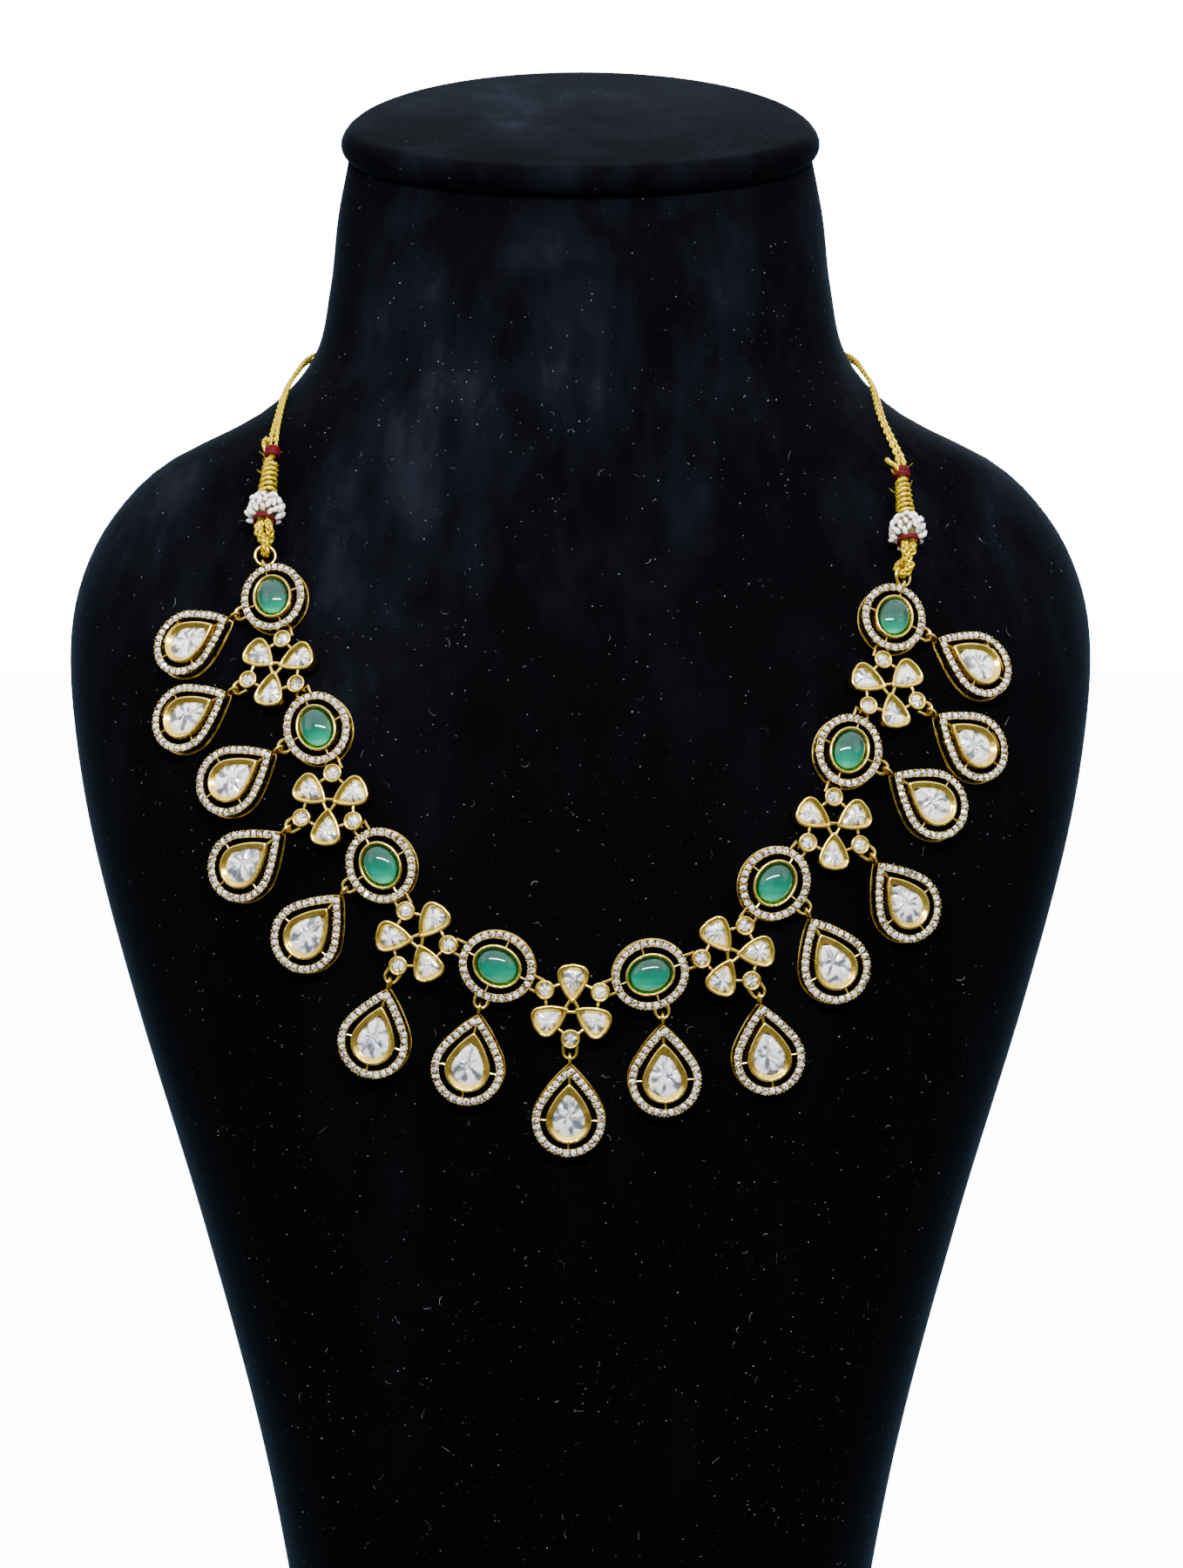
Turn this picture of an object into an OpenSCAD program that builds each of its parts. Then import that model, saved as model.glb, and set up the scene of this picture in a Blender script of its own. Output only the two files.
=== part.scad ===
// Kundan necklace on a velvet neck bust. Millimetres, +Z up, the bust faces -Y and stands on Z = 0.
// Eight oval links and seven flower links hang in a chain on the chest. Each carries one pear drop.
// A gold cord from the two ends goes round the back of the neck.

/* [Bust] */
// Height of the chest part, from the base to the root of the neck
torso_h = 278; // [240:1:320]
// Width over the shoulders
shoulder_w = 233; // [200:1:260]
// Depth of the chest part
torso_d = 100; // [90:1:115]
// Height of the neck along its middle
neck_h = 57.5; // [48:0.5:66]
// Width of the neck at its narrowest
neck_w = 110; // [100:1:120]
// Depth of the neck
neck_d = 80; // [74:1:88]
// Slant of the cap, front edge low
cap_tilt = 28; // [15:1:32]
// Thickness of the cap
cap_t = 7; // [5:0.5:10]
// How far the cap stands over the neck all round
cap_lip = 1.5; // [1:0.5:4]

/* [Chain] */
// Place of the middle flower, sideways from the middle plane
flower_x = -1.4; // [-4:0.2:4]
// Height of the middle flower over the base
flower_z = 155.4; // [150:1:170]
// Gap between the back of each piece and the velvet
seat_gap = 0.3; // [0.2:0.05:0.6]
// Height of the wires over the back of their link
wire_z = 1.45; // [1.45:0.05:1.8]
// Gap between the rim of an oval link and the cup it is hinged to
hinge_gap = 0.75; // [0.5:0.05:1.2]

/* [Oval link] */
// Length of the halo, along the chain
oval_l = 15.6; // [14:0.1:17]
// Width of the halo
oval_w = 14.1; // [13:0.1:15]
// Width of the halo band
band_w = 1.7; // [1.4:0.1:2]
// Height of a frame over its back
frame_h = 3; // [2.8:0.1:3.6]
// Thickness of the halo band
band_t = 1.1; // [0.8:0.1:1.3]
// Width and height of the thin rail at the back of a frame
rail_t = 0.5; // [0.4:0.05:0.6]
// Length of the oval setting
oval_cup_l = 10.1; // [9:0.1:11]
// Width of the oval setting
oval_cup_w = 8.4; // [7.6:0.1:9]
// Wall of the oval setting
oval_cup_wall = 0.95; // [0.7:0.05:1.2]
// Rise of the settings over the halo
cup_rise = 0.5; // [0.2:0.1:1]
// Height of the green dome over its setting
dome_h = 1.5; // [1:0.1:2.4]

/* [Pear drop] */
// Radius of the round end of the halo
drop_r = 7.35; // [6.8:0.05:7.6]
// Distance from the middle of the round end to the tip
drop_tip = 11.25; // [10.4:0.05:12]
// Radius of the round end of the setting
pear_r = 4.55; // [4:0.05:4.9]
// Distance from the middle of the round end to the tip of the setting
pear_tip = 7.6; // [7:0.05:8]
// Wall of the pear setting
pear_wall = 1.25; // [0.9:0.05:1.4]
// Angle at the tip of a drop
tip_angle = 98; // [90:1:106]

/* [Flower link] */
// Distance of the petal point from the middle
petal_in = 0.7; // [0.6:0.1:1]
// Distance of the outer end of a petal from the middle
petal_out = 8.4; // [7.8:0.1:8.8]
// Width of a petal
petal_w = 6.4; // [5.8:0.1:6.6]
// Radius of the outer corners of a petal
petal_corner = 2; // [1.6:0.1:2.3]
// Angle at the point of a petal
petal_tip = 98; // [92:1:104]
// Wall of a petal
petal_wall = 1.05; // [0.8:0.05:1.2]
// Radius of a round cup
round_r = 1.95; // [1.7:0.05:2.1]
// Wall of a round cup
round_wall = 0.65; // [0.5:0.05:0.75]
// Distance of the round cups from the middle
round_at = 6.35; // [6:0.05:6.6]
// Height of the shallow cups that stand over a hinge
cup_h = 1; // [0.8:0.1:1.3]

/* [Wire] */
// Radius of the wire of hinges, loops and rings
wire_r = 0.35; // [0.3:0.05:0.4]
// Radius of the finer wire of the hinges
hinge_wire_r = 0.3; // [0.25:0.05:0.3]
// Radius of a hinge ring to the middle of its wire
hinge_ring_r = 0.95; // [0.9:0.05:1]
// Distance of the hinge bar from the rim of the oval
hinge_reach = 1.8; // [1.7:0.1:2.1]
// Half distance between the two legs of a hinge bar
hinge_half = 1.4; // [1.35:0.05:1.6]
// Radius of a drop loop to the middle of its wire
loop_r = 1.35; // [1.3:0.05:1.6]
// Length of the straight legs of a drop loop
loop_leg = 0.75; // [0.6:0.05:1.1]
// Radius of a bail ring to the middle of its wire
bail_r = 1.1; // [1.05:0.05:1.1]
// Radius of the large ring at each end, to the middle of its wire
end_ring_r = 2.1; // [2.1:0.05:2.6]

/* [Stones] */
// Gap between a stone and its setting
stone_gap = 0.15; // [0.1:0.05:0.2]
// Thickness of the floor of a setting
floor_t = 0.4; // [0.3:0.05:0.5]
// Share of a cut stone that its table takes
table_share = 0.5; // [0.35:0.05:0.6]

/* [Cord] */
// Diameter of the neck cord
cord_d = 1.2; // [1:0.05:1.3]
// Radius of the braid that goes through the end ring
braid_r = 1; // [0.8:0.05:1]
// Half distance between the two legs of the braid where it passes the ring
braid_half = 1.7; // [1.6:0.05:1.9]
// Radius of the ball of seed pearls
ball_r = 4.25; // [3.8:0.05:4.6]
// Distance of the pearl ball from the end ring
ball_at = 9.9; // [9.9:0.1:12]
// Radius of the thread-wound barrel at the ball
barrel_r = 2.2; // [1.9:0.05:2.5]
// Length of the barrel
barrel_l = 9.4; // [8:0.1:11]
// Radius of the red thread tie
tie_r = 1.85; // [1.7:0.05:2.2]
// Length of the red thread tie
tie_l = 2.8; // [2:0.1:3.5]
// Length of the slider at the back of the neck
slider_l = 7; // [5:0.5:10]
// Radius of the slider
slider_r = 2.5; // [2.2:0.1:3]

/* [Hidden] */

// Columns of the chest table: height (share of torso_h), half width (share of half the shoulders),
// place of the widest plane, front and back depth from it (shares of torso_d), roundness
CHEST = [
    [0.00, 0.536,  0.04, 0.50, 0.38, 2.4],
    [0.18, 0.612,  0.04, 0.53, 0.40, 2.4],
    [0.36, 0.722,  0.05, 0.55, 0.41, 2.4],
    [0.54, 0.850,  0.07, 0.56, 0.43, 2.4],
    [0.665, 0.936, 0.12, 0.56, 0.42, 2.3],
    [0.755, 0.984, 0.20, 0.57, 0.37, 2.2],
    [0.82, 1.000,  0.26, 0.56, 0.33, 2.1],
    [0.87, 0.980,  0.29, 0.52, 0.31, 2.1],
    [0.917, 0.922, 0.30, 0.47, 0.31, 2.1],
    [0.96, 0.816,  0.29, 0.42, 0.32, 2.1],
    [1.00, 0.628,  0.27, 0.385, 0.35, 2.0]];
// Columns of the neck table: height (share of neck_h), half width (share of half the neck),
// front and back depth (shares of half the neck depth), slant (share of cap_tilt)
NECK = [
    [0.22, 1.11, 0.90, 0.91, 0.25],
    [0.50, 1.035, 0.91, 0.97, 0.50],
    [0.78, 1.00, 0.83, 1.08, 0.80],
    [1.00, 0.955, 0.72, 1.18, 1.00]];
// Headings are seen from the front: 0 points right, 90 up. A row for each link outward from the
// middle flower, ovals and flowers in turn. Columns: heading of the link, heading of its drop
HEADING = 0;
SWING = 1;
LEFT_LINKS = [[155, 259], [173, 255], [121, 230], [147, 219], [115, 213], [144, 209], [110, 208]];
RIGHT_LINKS = [[18, 272], [6, 279], [52, 297], [27, 306], [67, 325], [36, 323], [69, 331]];
middle_heading = 87.5;
middle_swing = 269;
// Heading of the cord end from the end ring to the pearl ball, and from there to the neck, left and right
END_HEADINGS = [[87, 92], [86, 88]];
end_ring_turn = 25;

neck_y = CHEST[len(CHEST) - 1][2]*torso_d;
// Sections of the bust in millimetres: height, half width, middle, front, back, roundness, slant
SECTIONS = concat(
    [for (r = CHEST) [r[0]*torso_h, r[1]*shoulder_w/2, r[2]*torso_d, r[3]*torso_d, r[4]*torso_d, r[5], 0]],
    [for (r = NECK) [torso_h + r[0]*neck_h, r[1]*neck_w/2, neck_y, r[2]*neck_d/2, r[3]*neck_d/2, 2,
                     r[4]*cap_tilt]]);
last = len(SECTIONS) - 1;
around = 40;
chest_levels = 28;
neck_levels = 7;
rim_steps = 6;

// Smooth value of every section column at height z
function row_at(z) = let(i = max([0, for (k = [0:last - 1]) if (SECTIONS[k][0] <= z) k])) blend_rows(i, z);
function blend_rows(i, z) =
    let(a = SECTIONS[i], b = SECTIONS[i + 1], h = b[0] - a[0], t = (z - a[0])/h,
        ma = row_slope(i)*h, mb = row_slope(i + 1)*h)
    a*(2*t*t*t - 3*t*t + 1) + ma*(t*t*t - 2*t*t + t) + b*(3*t*t - 2*t*t*t) + mb*(t*t*t - t*t);
function row_slope(i) =
    let(p = SECTIONS[max(0, i - 1)], q = SECTIONS[min(last, i + 1)]) (q - p)/(q[0] - p[0]);

// Front of the chest: y over the point x, z
function front_y(x, z) =
    let(r = row_at(z), t = min(abs(x)/r[1], 0.999)) r[2] - r[3]*pow(1 - pow(t, r[5]), 1/r[5]);
probe = 0.5;
function slope_x(x, z) = (front_y(x + probe, z) - front_y(x - probe, z))/(2*probe);
function slope_z(x, z) = (front_y(x, z + probe) - front_y(x, z - probe))/(2*probe);
function unit(v) = v/norm(v);
function out_normal(p) = unit([slope_x(p.x, p.z), -1, slope_z(p.x, p.z)]);
function along(p, a) = unit([cos(a), cos(a)*slope_x(p.x, p.z) + sin(a)*slope_z(p.x, p.z), sin(a)]);
function height_over(p) = (front_y(p.x, p.z) - p.y)*abs(out_normal(p).y);
function square_to(v, e) = unit(v - (v*e)*e);

// Direction from a point, at a heading, whose far end at that length is h over the velvet
function reach(p, a, length, h) = settle(p, along(p, a), length, h, 5);
function settle(p, e, length, h, k) =
    let(c = p + length*e, d = unit(c + (h - height_over(c))*out_normal(c) - p))
    k == 0 ? d : settle(p, d, length, h, k - 1);
// A place is a point and three directions: along, across and out of the velvet
function place_at(p, e) = let(n = square_to(out_normal(p), e)) [p, e, cross(n, e), n];
function turn(place, a) = cos(a)*place[1] + sin(a)*place[2];
module put(place, back = 0) {
    p = place[0] - back*place[3];
    multmatrix([[place[1].x, place[2].x, place[3].x, p.x],
                [place[1].y, place[2].y, place[3].y, p.y],
                [place[1].z, place[2].z, place[3].z, p.z],
                [0, 0, 0, 1]]) children();
}

// The chain, walked outward from the middle flower, hinge by hinge
oval_lever = oval_l/2 + hinge_reach;
flower_lever = round_at + round_r + hinge_gap - hinge_reach;
seat_h = seat_gap + wire_z;
foot = [flower_x, front_y(flower_x, flower_z), flower_z];
middle_p = foot + seat_h*out_normal(foot);
middle = place_at(middle_p, square_to(along(middle_p, middle_heading), out_normal(middle_p)));
function is_oval(k) = k % 2 == 0;
function lever(k) = is_oval(k) ? oval_lever : flower_lever;
function arm_turn(k, side) = is_oval(k) ? 0 : side*60;
function drop_turn(k, side) = is_oval(k) ? -side*90 : -side*60;
function walk(links, side, hinge, k = 0) = k == len(links) ? [] :
    let(e = reach(hinge, links[k][HEADING], lever(k), seat_h),
        place = place_at(hinge + lever(k)*e, e),
        next = place[0] + lever(k)*turn(place, arm_turn(k, side)))
    concat([place], walk(links, side, next, k + 1));
LEFT = walk(LEFT_LINKS, -1, middle[0] + flower_lever*turn(middle, 60));
RIGHT = walk(RIGHT_LINKS, 1, middle[0] + flower_lever*turn(middle, -60));

// Drops: each hangs from the loop of its link, whose wire its bail ring goes round
drop_lever = drop_tip + bail_r - 0.1;
function rim(oval) = oval ? oval_w/2 : round_at + round_r;
function drop_place(place, arm, swing, oval) =
    let(centre = place[0] + (rim(oval) + loop_leg)*turn(place, arm),
        wire = centre + loop_r*square_to(along(centre, swing), place[3]),
        e = reach(wire, swing, drop_lever, seat_h))
    place_at(wire + drop_lever*e, e);
function side_drops(places, links, side) =
    [for (k = [0:6]) drop_place(places[k], drop_turn(k, side), links[k][SWING], is_oval(k))];
LEFT_DROPS = side_drops(LEFT, LEFT_LINKS, -1);
RIGHT_DROPS = side_drops(RIGHT, RIGHT_LINKS, 1);
MIDDLE_DROP = drop_place(middle, 180, middle_swing, false);

// From left to right as the chain lies: places, the side they hang on, and the turn of the drop loop
DROPS = concat([for (k = [6:-1:0]) LEFT_DROPS[k]], [MIDDLE_DROP], RIGHT_DROPS);
OVALS = concat([for (k = [6:-2:0]) LEFT[k]], [for (k = [0:2:6]) RIGHT[k]]);
FLOWERS = concat([for (k = [5:-2:1]) LEFT[k]], [middle], [for (k = [1:2:5]) RIGHT[k]]);
OVAL_ARMS = [90, 90, 90, 90, -90, -90, -90, -90];
FLOWER_ARMS = [60, 60, 60, 180, -60, -60, -60];

// Outlines
steps = 36;
function oval_points(l, w, n = steps) = [for (i = [0:n - 1]) let(a = 360*i/n) [l/2*cos(a), w/2*sin(a)]];
// A pear has its round end at the origin and its tip towards -X. The flank is one arc a side
function flank(r, tip) =
    let(b = tip_angle/2) (r*r + tip*tip - 2*tip*r*sin(b))/(2*(tip*sin(b) - r));
function flank_angle(r, tip) = let(k = flank(r, tip)) acos((r + k)*cos(tip_angle/2)/k);
function pear_points(r, tip, inset, n = 6) =
    let(k = flank(r, tip), f = flank_angle(r, tip), big = r + k - inset,
        end = 180 - asin(k*cos(f)/big), centre = [k*sin(f), -k*cos(f)])
    concat([for (i = [-2*n:2*n]) let(a = (90 + f)*i/(2*n)) (r - inset)*[cos(a), sin(a)]],
           [for (i = [1:n]) let(a = 90 + f + (end - 90 - f)*i/n) centre + big*[cos(a), sin(a)]],
           [for (i = [n - 1:-1:1]) let(a = 90 + f + (end - 90 - f)*i/n)
                [centre.x + big*cos(a), -centre.y - big*sin(a)]]);
// A petal points to the middle of the flower. Its sides are arcs and its two outer corners are round
corner_x = petal_out - petal_corner;
corner_y = petal_w/2 - petal_corner;
petal_arc = let(d = [corner_x - petal_in, corner_y], n = [sin(petal_tip/2), -cos(petal_tip/2)])
    (d*d - petal_corner*petal_corner)/(2*(d*n - petal_corner));
petal_centre = [petal_in, 0] + petal_arc*[sin(petal_tip/2), -cos(petal_tip/2)];
petal_turn = atan2(corner_y - petal_centre.y, corner_x - petal_centre.x);
function petal_points(inset, n = 4) =
    let(r = petal_corner - inset, big = petal_arc - inset, end = 180 - asin(-petal_centre.y/big),
        corner = [for (i = [0:n]) let(a = petal_turn*i/n) [corner_x + r*cos(a), corner_y + r*sin(a)]],
        side = [for (i = [1:n]) let(a = petal_turn + (end - petal_turn)*i/n)
            petal_centre + big*[cos(a), sin(a)]])
    concat(corner, side, [for (i = [n - 2:-1:0]) [side[i].x, -side[i].y]],
        [for (i = [n:-1:0]) [corner[i].x, -corner[i].y]]);

// Bust: one closed skin lofted through the sections, with a slanted cap whose rim is round
neck_top = torso_h + neck_h;
cap_r = cap_t/2;
top_row = row_at(neck_top - 0.001);
function ring_of(r, grow = 0, rise = 0) = [for (j = [0:around - 1])
    let(a = 360*j/around, c = cos(a), s = sin(a), q = 2/r[5],
        x = (r[1] + grow)*sign(c)*pow(abs(c), q),
        d = (s < 0 ? -(r[3] + grow) : r[4] + grow)*pow(abs(s), q))
    [x, r[2] + d*cos(r[6]) - rise*sin(r[6]), r[0] + d*sin(r[6]) + rise*cos(r[6])]];
BUST_RINGS = concat(
    [for (i = [0:chest_levels - 1]) ring_of(row_at(torso_h*i/chest_levels))],
    [for (i = [0:neck_levels]) ring_of(row_at(torso_h + (neck_h - 0.001)*i/neck_levels))],
    [for (i = [0:rim_steps]) let(a = -90 + 180*i/rim_steps)
        ring_of(top_row, cap_lip - cap_r + cap_r*cos(a), cap_r + cap_r*sin(a))]);
module skin(rings) {
    n = len(rings[0]);
    m = len(rings);
    polyhedron([for (r = rings) each r],
        concat([[for (j = [0:n - 1]) j]],
            [for (i = [0:m - 2], j = [0:n - 1]) each [
                [i*n + j, (i + 1)*n + j, (i + 1)*n + (j + 1) % n],
                [i*n + j, (i + 1)*n + (j + 1) % n, i*n + (j + 1) % n]]],
            [[for (j = [n - 1:-1:0]) (m - 1)*n + j]]));
}
module neck_bust() color("#101218") skin(BUST_RINGS);

// A wall between two outlines, with a floor under it
module cup(outer, inner, low, high) {
    translate([0, 0, low]) linear_extrude(floor_t) polygon(outer);
    translate([0, 0, low + floor_t/2]) linear_extrude(high - low - floor_t/2) difference() {
        polygon(outer);
        polygon(inner);
    }
}
// A flat hoop between two outlines
module hoop(outer, inner, low, high) translate([0, 0, low]) linear_extrude(high - low) difference() {
    polygon(outer);
    polygon(inner);
}
module wire_ring(r, w = wire_r) rotate_extrude($fn = 40) translate([r, 0]) circle(w, $fn = 24);
module bar(from, to, r) {
    d = to - from;
    translate(from) rotate([0, atan2(norm([d.x, d.y]), d.z), atan2(d.y, d.x)])
        cylinder(h = norm(d), r = r, $fn = 24);
}
// A short post between the rail and the band of a frame, at a point of the rim
post_w = 0.8;
module post(p, a) translate([p.x, p.y, 0]) rotate(a)
    translate([-rail_t - rim_step, -post_w/2, rail_t/2]) cube([rail_t, post_w, frame_h - band_t]);
// Loop for a drop: two legs and a half turn, towards +X, from a rim at distance r
module drop_loop(r) {
    for (s = [-1, 1]) bar([r - band_w/2, s*loop_r, wire_z], [r + loop_leg, s*loop_r, wire_z], wire_r);
    translate([r + loop_leg, 0, wire_z]) rotate(-90) rotate_extrude(angle = 180, $fn = 40)
        translate([loop_r, 0]) circle(wire_r, $fn = 24);
}
// Plate behind the rim that carries wires, towards +X
rim_step = 0.1;
module wire_plate(r, half) translate([r - band_w/2, -half, rail_t/2])
    cube([band_w/2 - rim_step, 2*half, frame_h - band_t]);
// Ring that stands across the link plane, at x
module standing_ring(x, r, w = wire_r) translate([x, 0, wire_z]) rotate([90, 0, 0]) wire_ring(r, w);

module hinge_bar() {
    r = hinge_wire_r;
    wire_plate(oval_l/2, hinge_half + r + rim_step);
    for (s = [-1, 1]) bar([oval_l/2 - band_w/2, s*hinge_half, wire_z], [oval_lever, s*hinge_half, wire_z], r);
    bar([oval_lever, -hinge_half - r, wire_z], [oval_lever, hinge_half + r, wire_z], r);
}
oval_post_angles = [30, 60, 120, 150, 210, 240, 300, 330];
bail_x = oval_l/2 + bail_r - wire_r;
module oval_link(i) color("#c9a24d") put(OVALS[i - 1], wire_z) {
    first = i == 1;
    final = i == 8;
    hoop(oval_points(oval_l, oval_w), oval_points(oval_l - 2*band_w, oval_w - 2*band_w),
        frame_h - band_t, frame_h);
    hoop(oval_points(oval_l, oval_w), oval_points(oval_l - 2*rail_t, oval_w - 2*rail_t), 0, rail_t);
    for (a = oval_post_angles) post([oval_l/2*cos(a), oval_w/2*sin(a)], a);
    cup(oval_points(oval_cup_l, oval_cup_w),
        oval_points(oval_cup_l - 2*oval_cup_wall, oval_cup_w - 2*oval_cup_wall), cup_low, cut_top);
    for (a = [0, 90, 180, 270]) let(c = [cos(a), sin(a)])
        bar([c.x*(oval_cup_l/2 - root), c.y*(oval_cup_w/2 - root), spoke_z],
            [c.x*(oval_l/2 - band_w/2), c.y*(oval_w/2 - band_w/2), spoke_z], spoke_r);
    rotate(180) hinge_bar();
    if (first || final) standing_ring(bail_x, bail_r);
    else hinge_bar();
    rotate(OVAL_ARMS[i - 1]) {
        wire_plate(oval_w/2, loop_r + wire_r + rim_step);
        drop_loop(oval_w/2);
    }
}
cup_low = 0.8;
spoke_r = 0.25;
spoke_z = frame_h - band_t + 0.4;
// How deep a spoke reaches into the wall of a setting
root = 0.4;

// Wall under the tip of a drop: distance from the rim, length and thickness
tip_in = 0.3;
tip_l = 2.2;
tip_w = 1;
module drop_frame(i) color("#c9a24d") put(DROPS[i - 1], wire_z) {
    hoop(pear_points(drop_r, drop_tip, 0), pear_points(drop_r, drop_tip, band_w),
        frame_h - band_t, frame_h);
    hoop(pear_points(drop_r, drop_tip, 0), pear_points(drop_r, drop_tip, rail_t), 0, rail_t);
    for (share = [-0.85, -0.5, -0.2, 0.2, 0.5, 0.85]) let(a = share*(90 + flank_angle(drop_r, drop_tip)))
        post(drop_r*[cos(a), sin(a)], a);
    for (s = [-1, 1]) translate([-drop_tip, 0, rail_t/2]) rotate(s*tip_angle/2)
        translate([tip_in, s > 0 ? -tip_in - tip_w : tip_in, 0]) cube([tip_l, tip_w, frame_h - band_t]);
    cup(pear_points(pear_r, pear_tip, 0), pear_points(pear_r, pear_tip, pear_wall), cup_low, cut_top);
    bar([pear_r - root, 0, spoke_z], [drop_r - band_w/2, 0, spoke_z], spoke_r);
    for (s = [-1, 1]) bar([0, s*(pear_r - root), spoke_z], [0, s*(drop_r - band_w/2), spoke_z], spoke_r);
    bar([-pear_tip + 1.5*root, 0, spoke_z], [-drop_tip + band_w, 0, spoke_z], wire_r);
    standing_ring(-drop_lever, bail_r);
}

arms = [60, 180, 300];
link_bar_r = 0.4;
shallow_low = wire_z + hinge_ring_r;
shallow_high = shallow_low + cup_h;
module round_cup(low) translate([round_at, 0, 0]) {
    translate([0, 0, low]) cylinder(h = floor_t, r = round_r, $fn = 40);
    translate([0, 0, low + floor_t/2]) difference() {
        cylinder(h = shallow_high - low - floor_t/2, r = round_r, $fn = 40);
        translate([0, 0, -1]) cylinder(h = shallow_high - low + 2, r = round_r - round_wall, $fn = 40);
    }
}
module flower_link(i) color("#c9a24d") put(FLOWERS[i - 1], wire_z) {
    for (a = arms) rotate(a) {
        drop_arm = (a - FLOWER_ARMS[i - 1]) % 360 == 0;
        if (drop_arm) {
            round_cup(cup_low);
            drop_loop(round_at + round_r);
        } else {
            round_cup(shallow_low);
            standing_ring(flower_lever, hinge_ring_r, hinge_wire_r);
        }
    }
    for (a = arms) rotate(a + 180) cup(petal_points(0), petal_points(petal_wall), cup_low, shallow_high);
    // solder bars from each round cup to the petals beside it, and between the petal points
    for (a = arms, s = [-1, 1]) rotate(a) translate([round_at, 0, 0]) rotate(s*to_petal_turn)
        bar([round_r - root, 0, bar_z], [cup_to_petal + root, 0, bar_z], link_bar_r);
    for (a = arms) rotate(a) bar([core_r, -core_half, bar_z], [core_r, core_half, bar_z], link_bar_r);
}
// Way from the middle of a round cup to the side of the petal beside it: turn and distance
to_petal = petal_centre - round_at*[cos(60), sin(60)];
to_petal_turn = atan2(to_petal.y, to_petal.x) - 60;
cup_to_petal = norm(to_petal) - petal_arc;
bar_z = shallow_low + 0.4;
// Three bars round the small hole in the middle: distance from it and half length
core_r = 1;
core_half = 1.1;

// Stones
dome_levels = 5;
dome_sides = 20;
// A dome of height h on an oval base between the heights low and base
module dome(l, w, low, base, h) skin([for (ring = concat([[0, low]],
    [for (k = [0:dome_levels - 1]) [90*k/dome_levels, base + h*sin(90*k/dome_levels)]]))
        [for (p = oval_points(l*cos(ring[0]), w*cos(ring[0]), dome_sides)) [p.x, p.y, ring[1]]]]);
stone_low = cup_low + floor_t + stone_gap;
cut_top = frame_h + cup_rise;
// How far the rim of a setting covers the straight side of a dome
rim_cover = 0.3;
module green_stone(i) color("#3f9d78") put(OVALS[i - 1], wire_z) {
    inset = 2*(oval_cup_wall + stone_gap);
    base = cut_top - rim_cover;
    dome(oval_cup_l - inset, oval_cup_w - inset, stone_low, base, dome_h + rim_cover);
}
// A cut stone on an outline: a straight girdle, then facets up to a flat table
module cut_stone(points, middle, low, girdle, high) {
    table = [for (p = points) middle + table_share*(p - middle)];
    skin([[for (p = points) [p.x, p.y, low]], [for (p = points) [p.x, p.y, girdle]],
          [for (p = table) [p.x, p.y, high]]]);
}
// Height of the slanted facets of the large and of the small stones
crown = 0.8;
small_crown = 0.3;
module drop_stones() color("#e8ecf2") for (place = DROPS) put(place, wire_z)
    cut_stone(pear_points(pear_r, pear_tip, pear_wall + stone_gap, 3), [-1, 0], stone_low,
        cut_top - crown, cut_top);
module petal_stones() color("#e8ecf2") for (place = FLOWERS) put(place, wire_z)
    for (a = arms) rotate(a + 180)
        cut_stone(petal_points(petal_wall + stone_gap, 2), [(petal_in + 2*petal_out)/3, 0], stone_low,
            shallow_high - crown, shallow_high);
module round_stones() color("#e8ecf2") for (i = [0:6]) put(FLOWERS[i], wire_z)
    for (a = arms) rotate(a) translate([round_at, 0, 0]) {
        low = ((a - FLOWER_ARMS[i]) % 360 == 0 ? cup_low : shallow_low) + floor_t + stone_gap;
        r = round_r - round_wall - stone_gap;
        cut_stone([for (k = [0:9]) r*[cos(36*k), sin(36*k)]], [0, 0], low,
            shallow_high - small_crown, shallow_high);
    }

// Cord ends: ring, braid loop, pearl ball, barrel and tie stand in line on each side
function end_place(oval, headings) =
    let(bail = oval[0] + bail_x*oval[1],
        e = reach(bail, headings[0], ball_at + end_ring_r, ball_r + seat_gap))
    place_at(bail + end_ring_r*e, e);
function barrel_place(end, headings) =
    let(ball = end[0] + ball_at*end[1], length = ball_r + barrel_l + tie_l,
        e = reach(ball, headings[1], length, tie_r + seat_gap))
    place_at(ball, e);
ENDS = [end_place(LEFT[6], END_HEADINGS[0]), end_place(RIGHT[6], END_HEADINGS[1])];
BARRELS = [for (s = [0, 1]) barrel_place(ENDS[s], END_HEADINGS[s])];
module end_ring(s) color("#c9a24d") put(ENDS[s]) rotate([end_ring_turn, 0, 0]) wire_ring(end_ring_r);
// The braid comes down on one side of the ring, passes through it and goes up on the other. Its two
// legs turn from one behind the other to side by side, and are drawn together by the red thread
thread_gap = 0.15;
braid_low = end_ring_r - wire_r - braid_r - thread_gap;
braid_bend = braid_low + braid_half;
braid_aim = [0, cos(end_ring_turn), sin(end_ring_turn)];
// Columns: share of the way up, half distance of the legs (share of braid_half), radius (share of braid_r)
LEGS = [
    [0.00, 1.00, 1.00],
    [0.25, 0.90, 1.10],
    [0.50, 0.78, 1.15],
    [0.75, 0.66, 1.05],
    [1.00, 0.53, 0.82]];
function leg_half(f) = braid_half*lookup(f, [for (r = LEGS) [r[0], r[1]]]);
function leg_r(f) = braid_r*lookup(f, [for (r = LEGS) [r[0], r[2]]]);
// Red thread under the pearl ball: thickness, length, and distance below the ball's middle
wrap_inner = leg_half(1) + leg_r(1) + thread_gap;
wrap_t = 0.6;
wrap_l = 1;
wrap_low = 3.1;
// How far below the ball's middle the legs are together, and where they end inside the ball
legs_met = wrap_low + 0.3;
legs_end = wrap_low - wrap_l - 0.2;
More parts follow.
